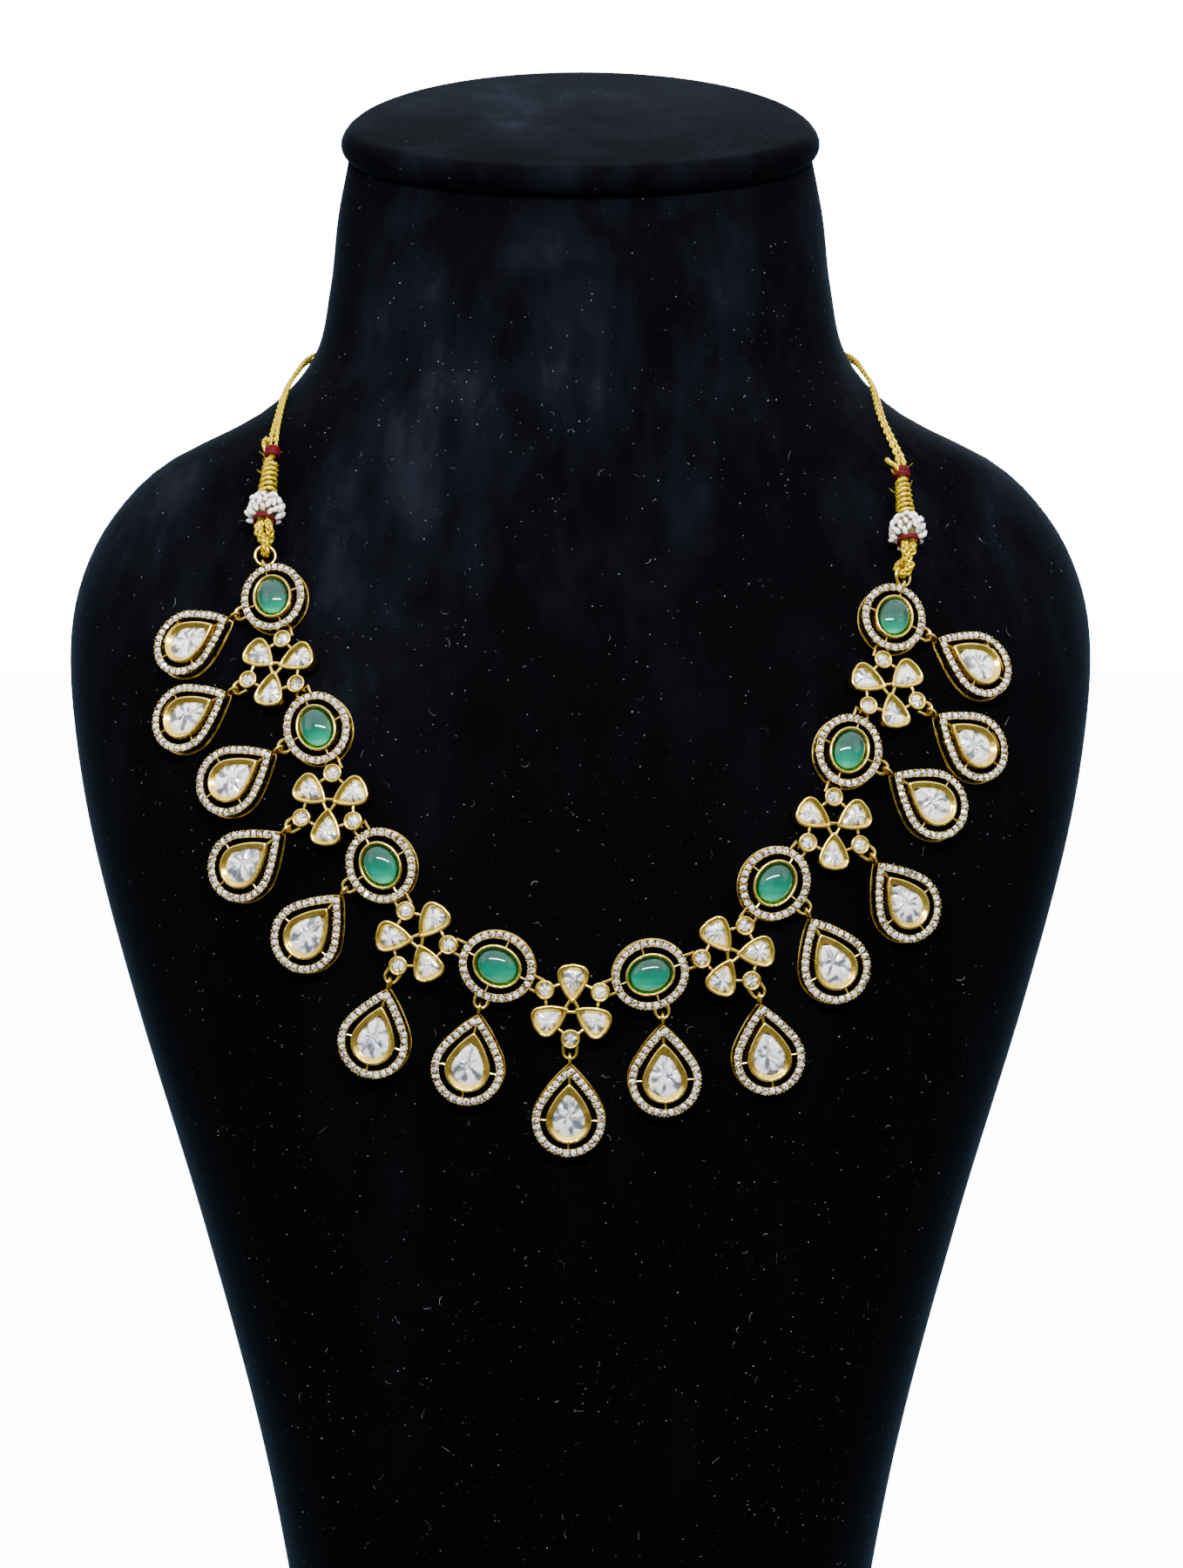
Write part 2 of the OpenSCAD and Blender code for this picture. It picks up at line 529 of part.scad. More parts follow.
// The direction of the ball and the barrel, in the frame of the end ring
function ball_way(s) = [for (k = [1:3]) BARRELS[s][1]*ENDS[s][k]];
function leg_middle(s, f) =
    let(from = [braid_bend, 0, 0], to = [ball_at, 0, 0] - legs_met*ball_way(s), lead = norm(to - from)/3,
        out = from + lead*[1, 0, 0], in = to - lead*ball_way(s), g = 1 - f)
    g*g*g*from + 3*f*g*g*out + 3*f*f*g*in + f*f*f*to;
function braid_leg(s, o, f) =
    let(a = (end_ring_turn + 90)*(1 - f)) leg_middle(s, f) + o*leg_half(f)*[0, cos(a), sin(a)];
function leg_top(s, o) = [ball_at, 0, 0] - legs_end*ball_way(s) + o*leg_half(1)*[0, 1, 0];
climbing = [0.2, 0.4, 0.6, 0.8, 1];
falling = [1, 0.8, 0.6, 0.4, 0.2];
bends = [0:30:180];
function braid(s) = concat([leg_top(s, -1)], [for (f = falling) braid_leg(s, -1, f)],
    [for (b = bends) let(a = end_ring_turn + 90)
        [braid_bend - braid_half*sin(b), -braid_half*cos(b)*cos(a), -braid_half*cos(b)*sin(a)]],
    [for (f = climbing) braid_leg(s, 1, f)], [leg_top(s, 1)]);
BRAID_RADII = concat([leg_r(1)], [for (f = falling) leg_r(f)], [for (b = bends) braid_r],
    [for (f = climbing) leg_r(f)], [leg_r(1)]);
module cord_loop(s) color("#d8b32a") put(ENDS[s])
    tube(braid(s), BRAID_RADII, [for (r = BRAID_RADII) braid_aim]);
module lower_wrap(s) color("#8f1f38") put(BARRELS[s]) translate([-wrap_low, 0, 0]) rotate([0, 90, 0])
    difference() {
        cylinder(h = wrap_l, r = wrap_inner + wrap_t, $fn = 32);
        translate([0, 0, -1]) cylinder(h = wrap_l + 2, r = wrap_inner, $fn = 32);
    }
// The ball is threaded on the braid and flat where it rests on the red thread
module pearl_ball(s) color("#f1efe8") put(BARRELS[s]) rotate([0, 90, 0])
    rotate_extrude($fn = 48) difference() {
        intersection() {
            circle(ball_r, $fn = 48);
            translate([0, wrap_l + thread_gap - wrap_low]) square([ball_r, wrap_low + ball_r]);
        }
        translate([-ball_r, -ball_r]) square([ball_r + wrap_inner, 2*ball_r]);
    }
// The barrel is seated on the ball and ends under the tie
barrel_low = sqrt(ball_r*ball_r - wrap_inner*wrap_inner) + thread_gap;
module barrel(s) color("#d8b32a") put(BARRELS[s]) translate([barrel_low, 0, 0]) rotate([0, 90, 0])
    cylinder(h = ball_r + barrel_l - thread_gap - barrel_low, r1 = barrel_r, r2 = tie_r - thread_gap, $fn = 32);
module thread_tie(s) color("#8f1f38") put(BARRELS[s]) translate([ball_r + barrel_l, 0, 0]) rotate([0, 90, 0])
    cylinder(h = tie_l, r = tie_r, $fn = 32);

// Neck cord: two strands side by side, from tie to tie round the back of the neck.
// Middle line of the pair on the right side, upward from the tie, mirrored for the left: x, y, z, and
// how many degrees the surface under it looks up
CORD_ROUTE = [
    [66, 4, 275.5, 49],
    [65.5, 14, 282.5, 44],
    [64, 22.5, 287.5, 30],
    [61.5, 35, 292, 25],
    [51.5, 48.5, 294.5, 13],
    [34, 58.5, 296, 2],
    [16, 63.5, 297, 0]];
strand_half = cord_d/2 + 0.05;
// Where a strand begins over its tie, and how far it stays straight
exit_gap = 0.25;
exit_l = 3;
// The straight stretch out of a tie, o to its left or right
function tie_exit(s, o) = let(top = BARRELS[s][0] + (ball_r + barrel_l + tie_l)*BARRELS[s][1])
    [for (d = [exit_gap, exit_l]) top - o*strand_half*BARRELS[s][2] + d*BARRELS[s][1]];
function reverse(list) = [for (i = [len(list) - 1:-1:0]) list[i]];
// One side of a strand, o = 1 for the upper strand and -1 for the lower
function beside(route, i, side, o) =
    let(p = route[i], q = route[min(len(route) - 1, i + 1)] - route[max(0, i - 1)],
        away = unit([p.x, p.y - neck_y, 0]),
        outward = cos(p[3])*away + [0, 0, sin(p[3])],
        m = [p.x, p.y, p.z] - o*strand_half*unit(cross([q.x, q.y, q.z], outward)))
    [side*m.x, m.y, m.z];
function climb(side, o) = [for (i = [0:len(CORD_ROUTE) - 1]) beside(CORD_ROUTE, i, side, o)];
// The slider is drilled for both strands and rests against the back of the neck
slider_row = row_at(torso_h + neck_h/4);
slider_place = [0, slider_row[2] + slider_row[4]*cos(slider_row[6]) + slider_r + seat_gap,
                slider_row[0] + slider_row[4]*sin(slider_row[6])];
function in_slider(o) = [for (x = [-1, 1]) slider_place + [x*(slider_l/2 + 1), 0, o*strand_half]];
function strand(o) = concat(tie_exit(0, o), climb(-1, o), in_slider(o), reverse(climb(1, o)),
    reverse(tie_exit(1, -o)));
// A smooth curve through a row of points, with one point more in the middle of each stretch
function smooth(path) = concat([for (i = [0:len(path) - 2]) each [path[i],
        let(a = path[max(0, i - 1)], b = path[i], c = path[i + 1], d = path[min(len(path) - 1, i + 2)])
        (9*(b + c) - a - d)/16]], [path[len(path) - 1]]);
// A tube of eight sides through a row of points, its sides turned about the line from aim
function tube_ring(p, e, r, aim, sides = 8) =
    let(u = square_to(aim, e), v = cross(e, u))
    [for (j = [0:sides - 1]) let(a = 360*(j + 0.5)/sides) p + r*(cos(a)*u + sin(a)*v)];
function travel(path, i) = unit(path[min(len(path) - 1, i + 1)] - path[max(0, i - 1)]);
module tube(path, radii, aims)
    skin([for (i = [0:len(path) - 1]) tube_ring(path[i], travel(path, i), radii[i], aims[i])]);
module neck_cord(o) {
    path = smooth(strand(o));
    color("#d8b32a") tube(path, [for (p = path) cord_d/2], [for (p = path) [p.x, p.y - neck_y, 0]]);
}
module cord_slider() color("#c9a24d") translate(slider_place) rotate([0, 90, 0]) difference() {
    cylinder(h = slider_l, r = slider_r, center = true, $fn = 40);
    cylinder(h = slider_l + 2, r = 2*strand_half + 0.2, center = true, $fn = 40);
}

neck_bust();
for (i = [1:8]) oval_link(i);
for (i = [1:7]) flower_link(i);
for (i = [1:15]) drop_frame(i);
for (i = [1:8]) green_stone(i);
drop_stones();
petal_stones();
round_stones();
for (s = [0, 1]) let(side = ["left", "right"][s]) {
    end_ring(s);
    cord_loop(s);
    lower_wrap(s);
    pearl_ball(s);
    barrel(s);
    thread_tie(s);
}
neck_cord(1);  // neck_cord_upper
neck_cord(-1);  // neck_cord_lower
cord_slider();
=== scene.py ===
# %% [markdown]
# A kundan necklace on a black velvet neck bust. Eight oval links with green stones and seven flower
# links hang in a chain, each with one pear drop. The solids of every link are already packed in the
# frame, so this lesson only dresses them: rounded settings, fine stones, thread, pearls and velvet.

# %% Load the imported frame
import math
import random
import bmesh
import bpy
import numpy as np
from mathutils import Matrix, Vector


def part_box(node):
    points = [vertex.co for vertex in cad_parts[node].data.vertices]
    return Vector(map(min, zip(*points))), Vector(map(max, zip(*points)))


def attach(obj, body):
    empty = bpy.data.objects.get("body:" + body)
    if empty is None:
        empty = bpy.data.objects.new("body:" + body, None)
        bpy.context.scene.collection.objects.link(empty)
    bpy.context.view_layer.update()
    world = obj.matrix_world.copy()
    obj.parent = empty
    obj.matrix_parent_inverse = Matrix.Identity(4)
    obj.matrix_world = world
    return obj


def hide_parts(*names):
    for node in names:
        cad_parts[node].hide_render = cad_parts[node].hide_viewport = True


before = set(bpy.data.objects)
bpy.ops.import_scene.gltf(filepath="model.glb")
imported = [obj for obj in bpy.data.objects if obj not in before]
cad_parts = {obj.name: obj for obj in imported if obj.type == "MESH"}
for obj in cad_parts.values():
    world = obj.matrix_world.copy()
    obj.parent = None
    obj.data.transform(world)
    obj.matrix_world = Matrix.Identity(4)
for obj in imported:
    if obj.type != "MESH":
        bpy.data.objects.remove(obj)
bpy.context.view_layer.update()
MM = 0.001
tiny = 1e-6
random.seed(7)


def move(x, y=0.0, z=0.0):
    return Matrix.Translation((x, y, z))


def spun(angle, about="Z"):
    return Matrix.Rotation(angle, 4, about)


def turn(degrees, about="Z"):
    return spun(math.radians(degrees), about)


def add_object(name, data):
    item = bpy.data.objects.new(name, data)
    bpy.context.scene.collection.objects.link(item)
    return item


# %% [markdown]
# The camera comes first, because cords are judged by what it sees. It stands a little under half a
# metre in front of the bust, level with the collar bones, and looks down by a few degrees. The long
# side of the picture is the upright one, so the sensor's width counts upwards.

# %% Place the camera
look_down = 5
camera_data = bpy.data.cameras.new("camera")
camera_data.sensor_width = 36
camera_data.lens = 50.8
camera_data.clip_start = 10 * MM
camera = add_object("camera", camera_data)
camera.location = (2.5 * MM, -485 * MM, 238 * MM)
camera.rotation_euler = (math.radians(90 - look_down), 0, 0)
bpy.context.scene.camera = camera
print("camera at", tuple(round(x, 4) for x in camera.location))

# %% [markdown]
# The bust is described by two short tables of sections, the same ones that its solid was lofted
# through. A smooth curve runs through every column, so the surface can be asked for at any height.

# %% Sections of the bust
torso_h = 278 * MM
shoulder_w = 233 * MM
torso_d = 100 * MM
neck_h = 57.5 * MM
neck_w = 110 * MM
neck_d = 80 * MM
cap_tilt = 28
# height, half width, widest plane, front depth, back depth (shares), roundness
CHEST = [
    (0.00, 0.536, 0.04, 0.50, 0.38, 2.4),
    (0.18, 0.612, 0.04, 0.53, 0.40, 2.4),
    (0.36, 0.722, 0.05, 0.55, 0.41, 2.4),
    (0.54, 0.850, 0.07, 0.56, 0.43, 2.4),
    (0.665, 0.936, 0.12, 0.56, 0.42, 2.3),
    (0.755, 0.984, 0.20, 0.57, 0.37, 2.2),
    (0.82, 1.000, 0.26, 0.56, 0.33, 2.1),
    (0.87, 0.980, 0.29, 0.52, 0.31, 2.1),
    (0.917, 0.922, 0.30, 0.47, 0.31, 2.1),
    (0.96, 0.816, 0.29, 0.42, 0.32, 2.1),
    (1.00, 0.628, 0.27, 0.385, 0.35, 2.0)]
# height, half width, front depth, back depth, slant (shares)
NECK = [
    (0.22, 1.11, 0.90, 0.91, 0.25),
    (0.50, 1.035, 0.91, 0.97, 0.50),
    (0.78, 1.00, 0.83, 1.08, 0.80),
    (1.00, 0.955, 0.72, 1.18, 1.00)]
neck_y = CHEST[-1][2] * torso_d
# height, half width, widest plane, front depth, back depth, roundness, slant
SECTIONS = np.array(
    [(h * torso_h, w * shoulder_w / 2, p * torso_d, f * torso_d, b * torso_d, n, 0)
     for h, w, p, f, b, n in CHEST]
    + [(torso_h + h * neck_h, w * neck_w / 2, neck_y, f * neck_d / 2, b * neck_d / 2, 2, s * cap_tilt)
       for h, w, f, b, s in NECK])
last = len(SECTIONS) - 1
side_share = 0.999


def row_slope(i):
    low, high = SECTIONS[max(0, i - 1)], SECTIONS[min(last, i + 1)]
    return (high - low) / (high[0] - low[0])


def row_at(z):
    i = max([0] + [k for k in range(last) if SECTIONS[k][0] <= z])
    a, b = SECTIONS[i], SECTIONS[i + 1]
    h = b[0] - a[0]
    t = (z - a[0]) / h
    row = (a * (2 * t**3 - 3 * t**2 + 1) + row_slope(i) * h * (t**3 - 2 * t**2 + t)
           + b * (3 * t**2 - 2 * t**3) + row_slope(i + 1) * h * (t**3 - t**2))
    return row.tolist()


def front_y(x, z):
    r = row_at(z)
    share = min(abs(x) / r[1], side_share)
    return r[2] - r[3] * (1 - share**r[5])**(1 / r[5])


print("front of the chest at the middle flower", round(front_y(0, 0.155) / MM, 2), "mm")

# %% [markdown]
# The necklace lies on that surface. Every link is found by walking outward from the middle flower:
# from one hinge, a heading and a length give the next hinge, and the far end is settled at the same
# small height over the velvet. A place is kept as a matrix: X along the link, Z away from the velvet.

# %% Walk along the chain
seat_gap = 0.3 * MM
wire_z = 1.45 * MM
wire_r = 0.35 * MM
hinge_gap = 0.75 * MM
hinge_reach = 1.8 * MM
oval_l = 15.6 * MM
oval_w = 14.1 * MM
drop_r = 7.35 * MM
drop_tip = 11.25 * MM
round_r = 1.95 * MM
round_at = 6.35 * MM
loop_r = 1.35 * MM
loop_leg = 0.75 * MM
bail_r = 1.1 * MM
oval_lever = oval_l / 2 + hinge_reach
flower_lever = round_at + round_r + hinge_gap - hinge_reach
bail_bite = 0.1 * MM
drop_lever = drop_tip + bail_r - bail_bite
seat_h = seat_gap + wire_z
# heading of the link, heading of its drop: 0 points right, 90 up
LEFT_LINKS = [(155, 259), (173, 255), (121, 230), (147, 219), (115, 213), (144, 209), (110, 208)]
RIGHT_LINKS = [(18, 272), (6, 279), (52, 297), (27, 306), (67, 325), (36, 323), (69, 331)]
middle_heading, middle_swing = 87.5, 269
flower_x = -1.4 * MM
flower_z = 155.4 * MM
probe = 0.5 * MM


def slopes(x, z):
    return ((front_y(x + probe, z) - front_y(x - probe, z)) / (2 * probe),
            (front_y(x, z + probe) - front_y(x, z - probe)) / (2 * probe))


def out_normal(p):
    sx, sz = slopes(p.x, p.z)
    return Vector((sx, -1, sz)).normalized()


def along(p, heading):
    sx, sz = slopes(p.x, p.z)
    c, s = math.cos(math.radians(heading)), math.sin(math.radians(heading))
    return Vector((c, c * sx + s * sz, s)).normalized()


def height_over(p):
    return (front_y(p.x, p.z) - p.y) * abs(out_normal(p).y)


def square_to(v, e):
    return (v - v.dot(e) * e).normalized()


def reach(p, heading, length, h):
    """The way from p to a point at this distance that lies h over the velvet."""
    e = along(p, heading)
    for _ in range(6):
        far = p + length * e
        e = (far + (h - height_over(far)) * out_normal(far) - p).normalized()
    return e


def place_at(p, e):
    n = square_to(out_normal(p), e)
    place = Matrix((e, n.cross(e), n)).transposed().to_4x4()
    place.translation = p
    return place


def axis(place, i):
    return place.col[i].to_3d()


def turned(place, degrees):
    a = math.radians(degrees)
    return math.cos(a) * axis(place, 0) + math.sin(a) * axis(place, 1)


def walk(links, side, hinge):
    """Ovals and flowers take turns. A flower passes the chain on at 60 degrees to its own way."""
    places = []
    for k, (heading, _) in enumerate(links):
        lever, bend = (oval_lever, 0) if k % 2 == 0 else (flower_lever, side * 60)
        e = reach(hinge, heading, lever, seat_h)
        places.append(place_at(hinge + lever * e, e))
        hinge = places[-1].translation + lever * turned(places[-1], bend)
    return places


foot = Vector((flower_x, front_y(flower_x, flower_z), flower_z))
middle_p = foot + seat_h * out_normal(foot)
middle = place_at(middle_p, square_to(along(middle_p, middle_heading), out_normal(middle_p)))
LEFT = walk(LEFT_LINKS, -1, middle.translation + flower_lever * turned(middle, 60))
RIGHT = walk(RIGHT_LINKS, 1, middle.translation + flower_lever * turned(middle, -60))
OVALS = LEFT[::-2] + RIGHT[::2]
FLOWERS = LEFT[-2::-2] + [middle] + RIGHT[1::2]
print(len(OVALS), "ovals and", len(FLOWERS), "flowers")

# %% [markdown]
# Each drop hangs from the wire loop of its link, so its place follows from the loop and a heading.
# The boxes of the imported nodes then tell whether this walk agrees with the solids.

# %% Hang the drops
OVAL_ARMS = [90] * 4 + [-90] * 4
FLOWER_ARMS = [60] * 3 + [180] + [-60] * 3


def drop_place(place, arm, swing, rim):
    centre = place.translation + (rim + loop_leg) * turned(place, arm)
    wire = centre + loop_r * square_to(along(centre, swing), axis(place, 2))
    e = reach(wire, swing, drop_lever, seat_h)
    return place_at(wire + drop_lever * e, e)


def side_drops(places, links, side):
    kinds = ((90, oval_w / 2), (60, round_at + round_r))
    return [drop_place(place, -side * kinds[k % 2][0], links[k][1], kinds[k % 2][1])
            for k, place in enumerate(places)]


def seat(place):
    """The frame of a link whose back is at Z = 0."""
    return place @ move(0, 0, -wire_z)


middle_drop = drop_place(middle, 180, middle_swing, round_at + round_r)
DROPS = side_drops(LEFT, LEFT_LINKS, -1)[::-1] + [middle_drop] + side_drops(RIGHT, RIGHT_LINKS, 1)
worst = 0
for group, places in (("oval_link", OVALS), ("flower_link", FLOWERS), ("drop_frame", DROPS)):
    for i, place in enumerate(places, 1):
        low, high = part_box(f"{group}_{i}")
        p = place.translation
        worst = max(worst, *(max(low[k] - p[k], p[k] - high[k]) for k in range(3)))
print("furthest that a place lies outside its packed link:", round(worst / MM, 3), "mm")

# %% [markdown]
# Both ends of the chain carry the same row of pieces: a large ring, a loop of braid, a ball of seed
# pearls, a barrel wound with gold thread and a red tie. From the two ties a pair of cords goes round
# the back of the neck, through one drilled slider.

# %% Find the ends and the way of the neck cord
SIDES = ("left", "right")
END_HEADINGS = [(87, 92), (86, 88)]
bail_x = oval_l / 2 + bail_r - wire_r
end_ring_r = 2.1 * MM
ball_r = 4.25 * MM
ball_at = 9.9 * MM
barrel_l = 9.4 * MM
tie_l = 2.8 * MM
tie_r = 1.85 * MM
cord_d = 1.2 * MM
strand_half = cord_d / 2 + 0.05 * MM
slider_l = 7 * MM
slider_r = 2.5 * MM
TIE_EXITS = (0.25 * MM, 3 * MM)
# middle line of the pair on the right: x, y, z in millimetres, degrees that the surface looks up
CORD_ROUTE = [
    (66, 4, 275.5, 49),
    (65.5, 14, 282.5, 44),
    (64, 22.5, 287.5, 30),
    (61.5, 35, 292, 25),
    (51.5, 48.5, 294.5, 13),
    (34, 58.5, 296, 2),
    (16, 63.5, 297, 0)]


def end_place(oval, heading):
    bail = oval.translation + bail_x * axis(oval, 0)
    e = reach(bail, heading, ball_at + end_ring_r, ball_r + seat_gap)
    return place_at(bail + end_ring_r * e, e)


def barrel_place(end, heading):
    ball = end.translation + ball_at * axis(end, 0)
    return place_at(ball, reach(ball, heading, ball_r + barrel_l + tie_l, tie_r + seat_gap))


def tie_exit(b, o):
    top = b.translation + (ball_r + barrel_l + tie_l) * axis(b, 0)
    return [top - o * strand_half * axis(b, 1) + d * axis(b, 0) for d in TIE_EXITS]


def from_neck(p):
    return Vector((p.x, p.y - neck_y, 0))


def climb(side, o):
    points = [Vector(row[:3]) * MM for row in CORD_ROUTE]
    strand = []
    for i, p in enumerate(points):
        lean = math.radians(CORD_ROUTE[i][3])
        outward = math.cos(lean) * from_neck(p).normalized() + Vector((0, 0, math.sin(lean)))
        travel = points[min(len(points) - 1, i + 1)] - points[max(0, i - 1)]
        m = p - o * strand_half * travel.cross(outward).normalized()
        strand.append(Vector((side * m.x, m.y, m.z)))
    return strand


def strand_route(o):
    inside = [slider_place + Vector((x * (slider_l / 2 + MM), 0, o * strand_half)) for x in (-1, 1)]
    return (tie_exit(BARRELS[0], o) + climb(-1, o) + inside + climb(1, o)[::-1]
            + tie_exit(BARRELS[1], -o)[::-1])


def dense(points, steps):
    """A Catmull-Rom curve through the points, with its steps in each stretch."""
    out, end = [], len(points) - 1
    for i in range(end):
        a, b, c, d = points[max(0, i - 1)], points[i], points[i + 1], points[min(end, i + 2)]
        for t in (k / steps for k in range(steps)):
            out.append(0.5 * (2 * b + (c - a) * t + (2 * a - 5 * b + 4 * c - d) * t**2
                              + (3 * b - a - 3 * c + d) * t**3))
    return out + [points[-1]]


def distances(points):
    """How far each point lies along the line."""
    walked = [0.0]
    for a, b in zip(points, points[1:]):
        walked.append(walked[-1] + (b - a).length)
    return walked


def length_of(points):
    return distances(points)[-1]


ENDS = [end_place(oval, END_HEADINGS[s][0]) for s, oval in enumerate((LEFT[6], RIGHT[6]))]
BARRELS = [barrel_place(ENDS[s], END_HEADINGS[s][1]) for s in (0, 1)]
slider_row = row_at(torso_h + neck_h / 4)
slant = math.radians(slider_row[6])
slider_place = Vector((0, slider_row[2] + slider_row[4] * math.cos(slant) + slider_r + seat_gap,
                       slider_row[0] + slider_row[4] * math.sin(slant)))
# the strands of the solids have one point more in the middle of each stretch, and so have these
ROUTES = {"upper": dense(strand_route(1), 2), "lower": dense(strand_route(-1), 2)}
print("cord lengths", {k: round(length_of(v), 4) for k, v in ROUTES.items()})

# %% [markdown]
# Materials are built from a few small helpers. One makes a shader with its plain numbers set on its
# own sockets. The others add a noise, a ramp of colours and a bump, which give every surface its
# grain. Object coordinates are in metres, so a noise of scale 1000 has grains of about a millimetre.

# %% Material helpers
def new_shader(name, **plain):
    material = bpy.data.materials.new(name)
    material.use_nodes = True
    shader = material.node_tree.nodes["Principled BSDF"]
    for key, value in plain.items():
        shader.inputs[key.replace("_", " ")].default_value = value
    return material, shader


def add_node(shader, kind, **values):
    node = shader.id_data.nodes.new(kind)
    for key, value in values.items():
        if key in node.inputs:
            node.inputs[key].default_value = value
        else:
            setattr(node, key, value)
    return node


def join(shader, source, target):
    shader.id_data.links.new(source, target)


def coordinates(shader, stretch=(1, 1, 1), source="Object"):
    place = add_node(shader, "ShaderNodeTexCoord")
    mapping = add_node(shader, "ShaderNodeMapping", Scale=stretch)
    join(shader, place.outputs[source], mapping.inputs["Vector"])
    return mapping.outputs["Vector"]


def one_axis(shader, vector, name):
    node = add_node(shader, "ShaderNodeSeparateXYZ")
    join(shader, vector, node.inputs["Vector"])
    return node.outputs[name]


def noise(shader, scale, detail=3, rough=0.55, place=None):
    node = add_node(shader, "ShaderNodeTexNoise", Scale=scale, Detail=detail, Roughness=rough)
    join(shader, place or coordinates(shader), node.inputs["Vector"])
    return node.outputs["Fac"]


def ramp(shader, source, stops, ease="LINEAR"):
    node = add_node(shader, "ShaderNodeValToRGB")
    node.color_ramp.interpolation = ease
    elements = node.color_ramp.elements
    while len(elements) < len(stops):
        elements.new(0.5)
    for element, (position, colour) in zip(elements, stops):
        element.position = position
        element.color = (*colour, 1)
    join(shader, source, node.inputs["Fac"])
    return node.outputs["Color"]


def paint(shader, source, stops, socket="Base Color"):
    join(shader, ramp(shader, source, stops), shader.inputs[socket])


def blend(shader, a, b, factor=None):
    """Two colours multiplied, or mixed by a factor."""
    node = add_node(shader, "ShaderNodeMix", data_type="RGBA",
                    blend_type="MIX" if factor else "MULTIPLY", Factor=1.0)
    join(shader, a, node.inputs["A"])
    join(shader, b, node.inputs["B"])
    if factor:
        join(shader, factor, node.inputs["Factor"])
    return node.outputs["Result"]


def grey(value):
    return (value, value, value)


def bump(shader, source, distance, strength=1.0):
    node = add_node(shader, "ShaderNodeBump", Strength=strength, Distance=distance)
    join(shader, source, node.inputs["Height"])
    before = shader.inputs["Normal"].links
    if before:
        join(shader, before[0].from_socket, node.inputs["Normal"])
    join(shader, node.outputs["Normal"], shader.inputs["Normal"])


print("helpers ready")

# %% [markdown]
# Velvet is a dense pile that swallows light seen straight on and glows a little at the edges of a
# form. A nearly black base with sheen gives that. Large soft noise is the nap, stroked this way and
# that, and a ramp up the bust fades it out low down, so the velvet is darker towards the bottom and
# the nap shows most at the neck. A very fine bump is the pile itself. Dust shows as pale specks.

# %% Black velvet
velvet, shader = new_shader("black_velvet", Roughness=0.95, Sheen_Weight=0.20, Sheen_Roughness=0.28,
                            Sheen_Tint=(0.10, 0.20, 0.34, 1), Specular_IOR_Level=0.03)
nap = ramp(shader, noise(shader, 40, 5, 0.66, coordinates(shader, (1, 1, 0.3))),
           [(0.45, (0.0004, 0.0004, 0.0010)), (0.60, (0.0022, 0.0026, 0.0050)),
            (0.76, (0.008, 0.010, 0.016))])
# darker towards the bottom: the nap fades out low on the bust
nap_fade_low = ramp(shader, one_axis(shader, coordinates(shader, (1, 1, 3)), "Z"),
               [(0.55, grey(0.12)), (0.85, grey(1))])
cells = add_node(shader, "ShaderNodeTexVoronoi", Scale=420, Randomness=1)
join(shader, coordinates(shader), cells.inputs["Vector"])
dust = ramp(shader, cells.outputs["Distance"], [(0.035, grey(1)), (0.075, grey(0))])
dust_tone = ramp(shader, noise(shader, 260, 1), [(0.44, grey(0.004)), (0.66, (0.16, 0.18, 0.24))])
join(shader, blend(shader, blend(shader, nap, nap_fade_low), dust_tone, dust), shader.inputs["Base Color"])
bump(shader, noise(shader, 2600, 2), 0.15 * MM, 0.5)
bump(shader, noise(shader, 60, 4), 0.6 * MM, 0.35)
print(velvet.name)

# %% [markdown]
# The metal is gold plating with an antique tone: pale where it is rubbed, browner where it isn't.
# The settings were brushed by hand, which leaves fine streaks, so the roughness varies a little and
# a fine bump breaks the reflections up. The bed under the fine stones is painted a near-black brown,
# as painted shade in the groove between the stones.

# %% Antique gold
def gold_material(name, light, dark, roughness, grain):
    material, shader = new_shader(name, Metallic=1.0)
    paint(shader, noise(shader, 420, 4), [(0.3, dark), (0.62, light)])
    paint(shader, noise(shader, 1500, 3), [(0.3, grey(roughness - 0.07)), (0.7, grey(roughness + 0.1))],
          "Roughness")
    bump(shader, noise(shader, grain, 2, place=coordinates(shader, (1, 1, 0.25))), 0.02 * MM, 0.6)
    return material


gold = gold_material("antique_gold", (0.88, 0.68, 0.11), (0.56, 0.36, 0.05), 0.17, 3800)
brushed_gold = gold_material("brushed_gold", (0.86, 0.65, 0.12), (0.54, 0.34, 0.05), 0.20, 5200)
# near-black brown: painted shade for the bed between the fine stones
painted_shade_gold = gold_material("painted_shade_gold", (0.16, 0.09, 0.025), (0.05, 0.026, 0.008), 0.5, 5200)
print(gold.name, brushed_gold.name, painted_shade_gold.name)

# %% [markdown]
# Kundan stones are thin and uneven, and they lie on foil. They read as silver and white wedges that
# run out from the middle: the silver is the foil's own, and the light and dark wedges are painted
# reflections of the facets. Each stone gets its own small map: U goes round it and V outward, so that
# a noise stretched along V makes wedges that follow every outline.

# %% Foil-backed stones and halo stones
foil, shader = new_shader("foil_stone", Metallic=0.35, Roughness=0.12, Coat_Weight=1.0, Coat_Roughness=0.03)
# the grey and white wedges in the colour are painted reflections of the facets
streaks = noise(shader, 6, 1.2, 0.5, coordinates(shader, (1.8, 0.30, 1), "UV"))
paint(shader, streaks, [(0.38, (0.12, 0.135, 0.17)), (0.45, (0.34, 0.36, 0.40)),
                        (0.50, (0.84, 0.86, 0.90)), (0.56, (1, 1, 1))])
bump(shader, streaks, 0.4 * MM)
brilliant, shader = new_shader("halo_stone", Metallic=0.55, Roughness=0.08, Coat_Weight=1.0,
                               Coat_Roughness=0.02)
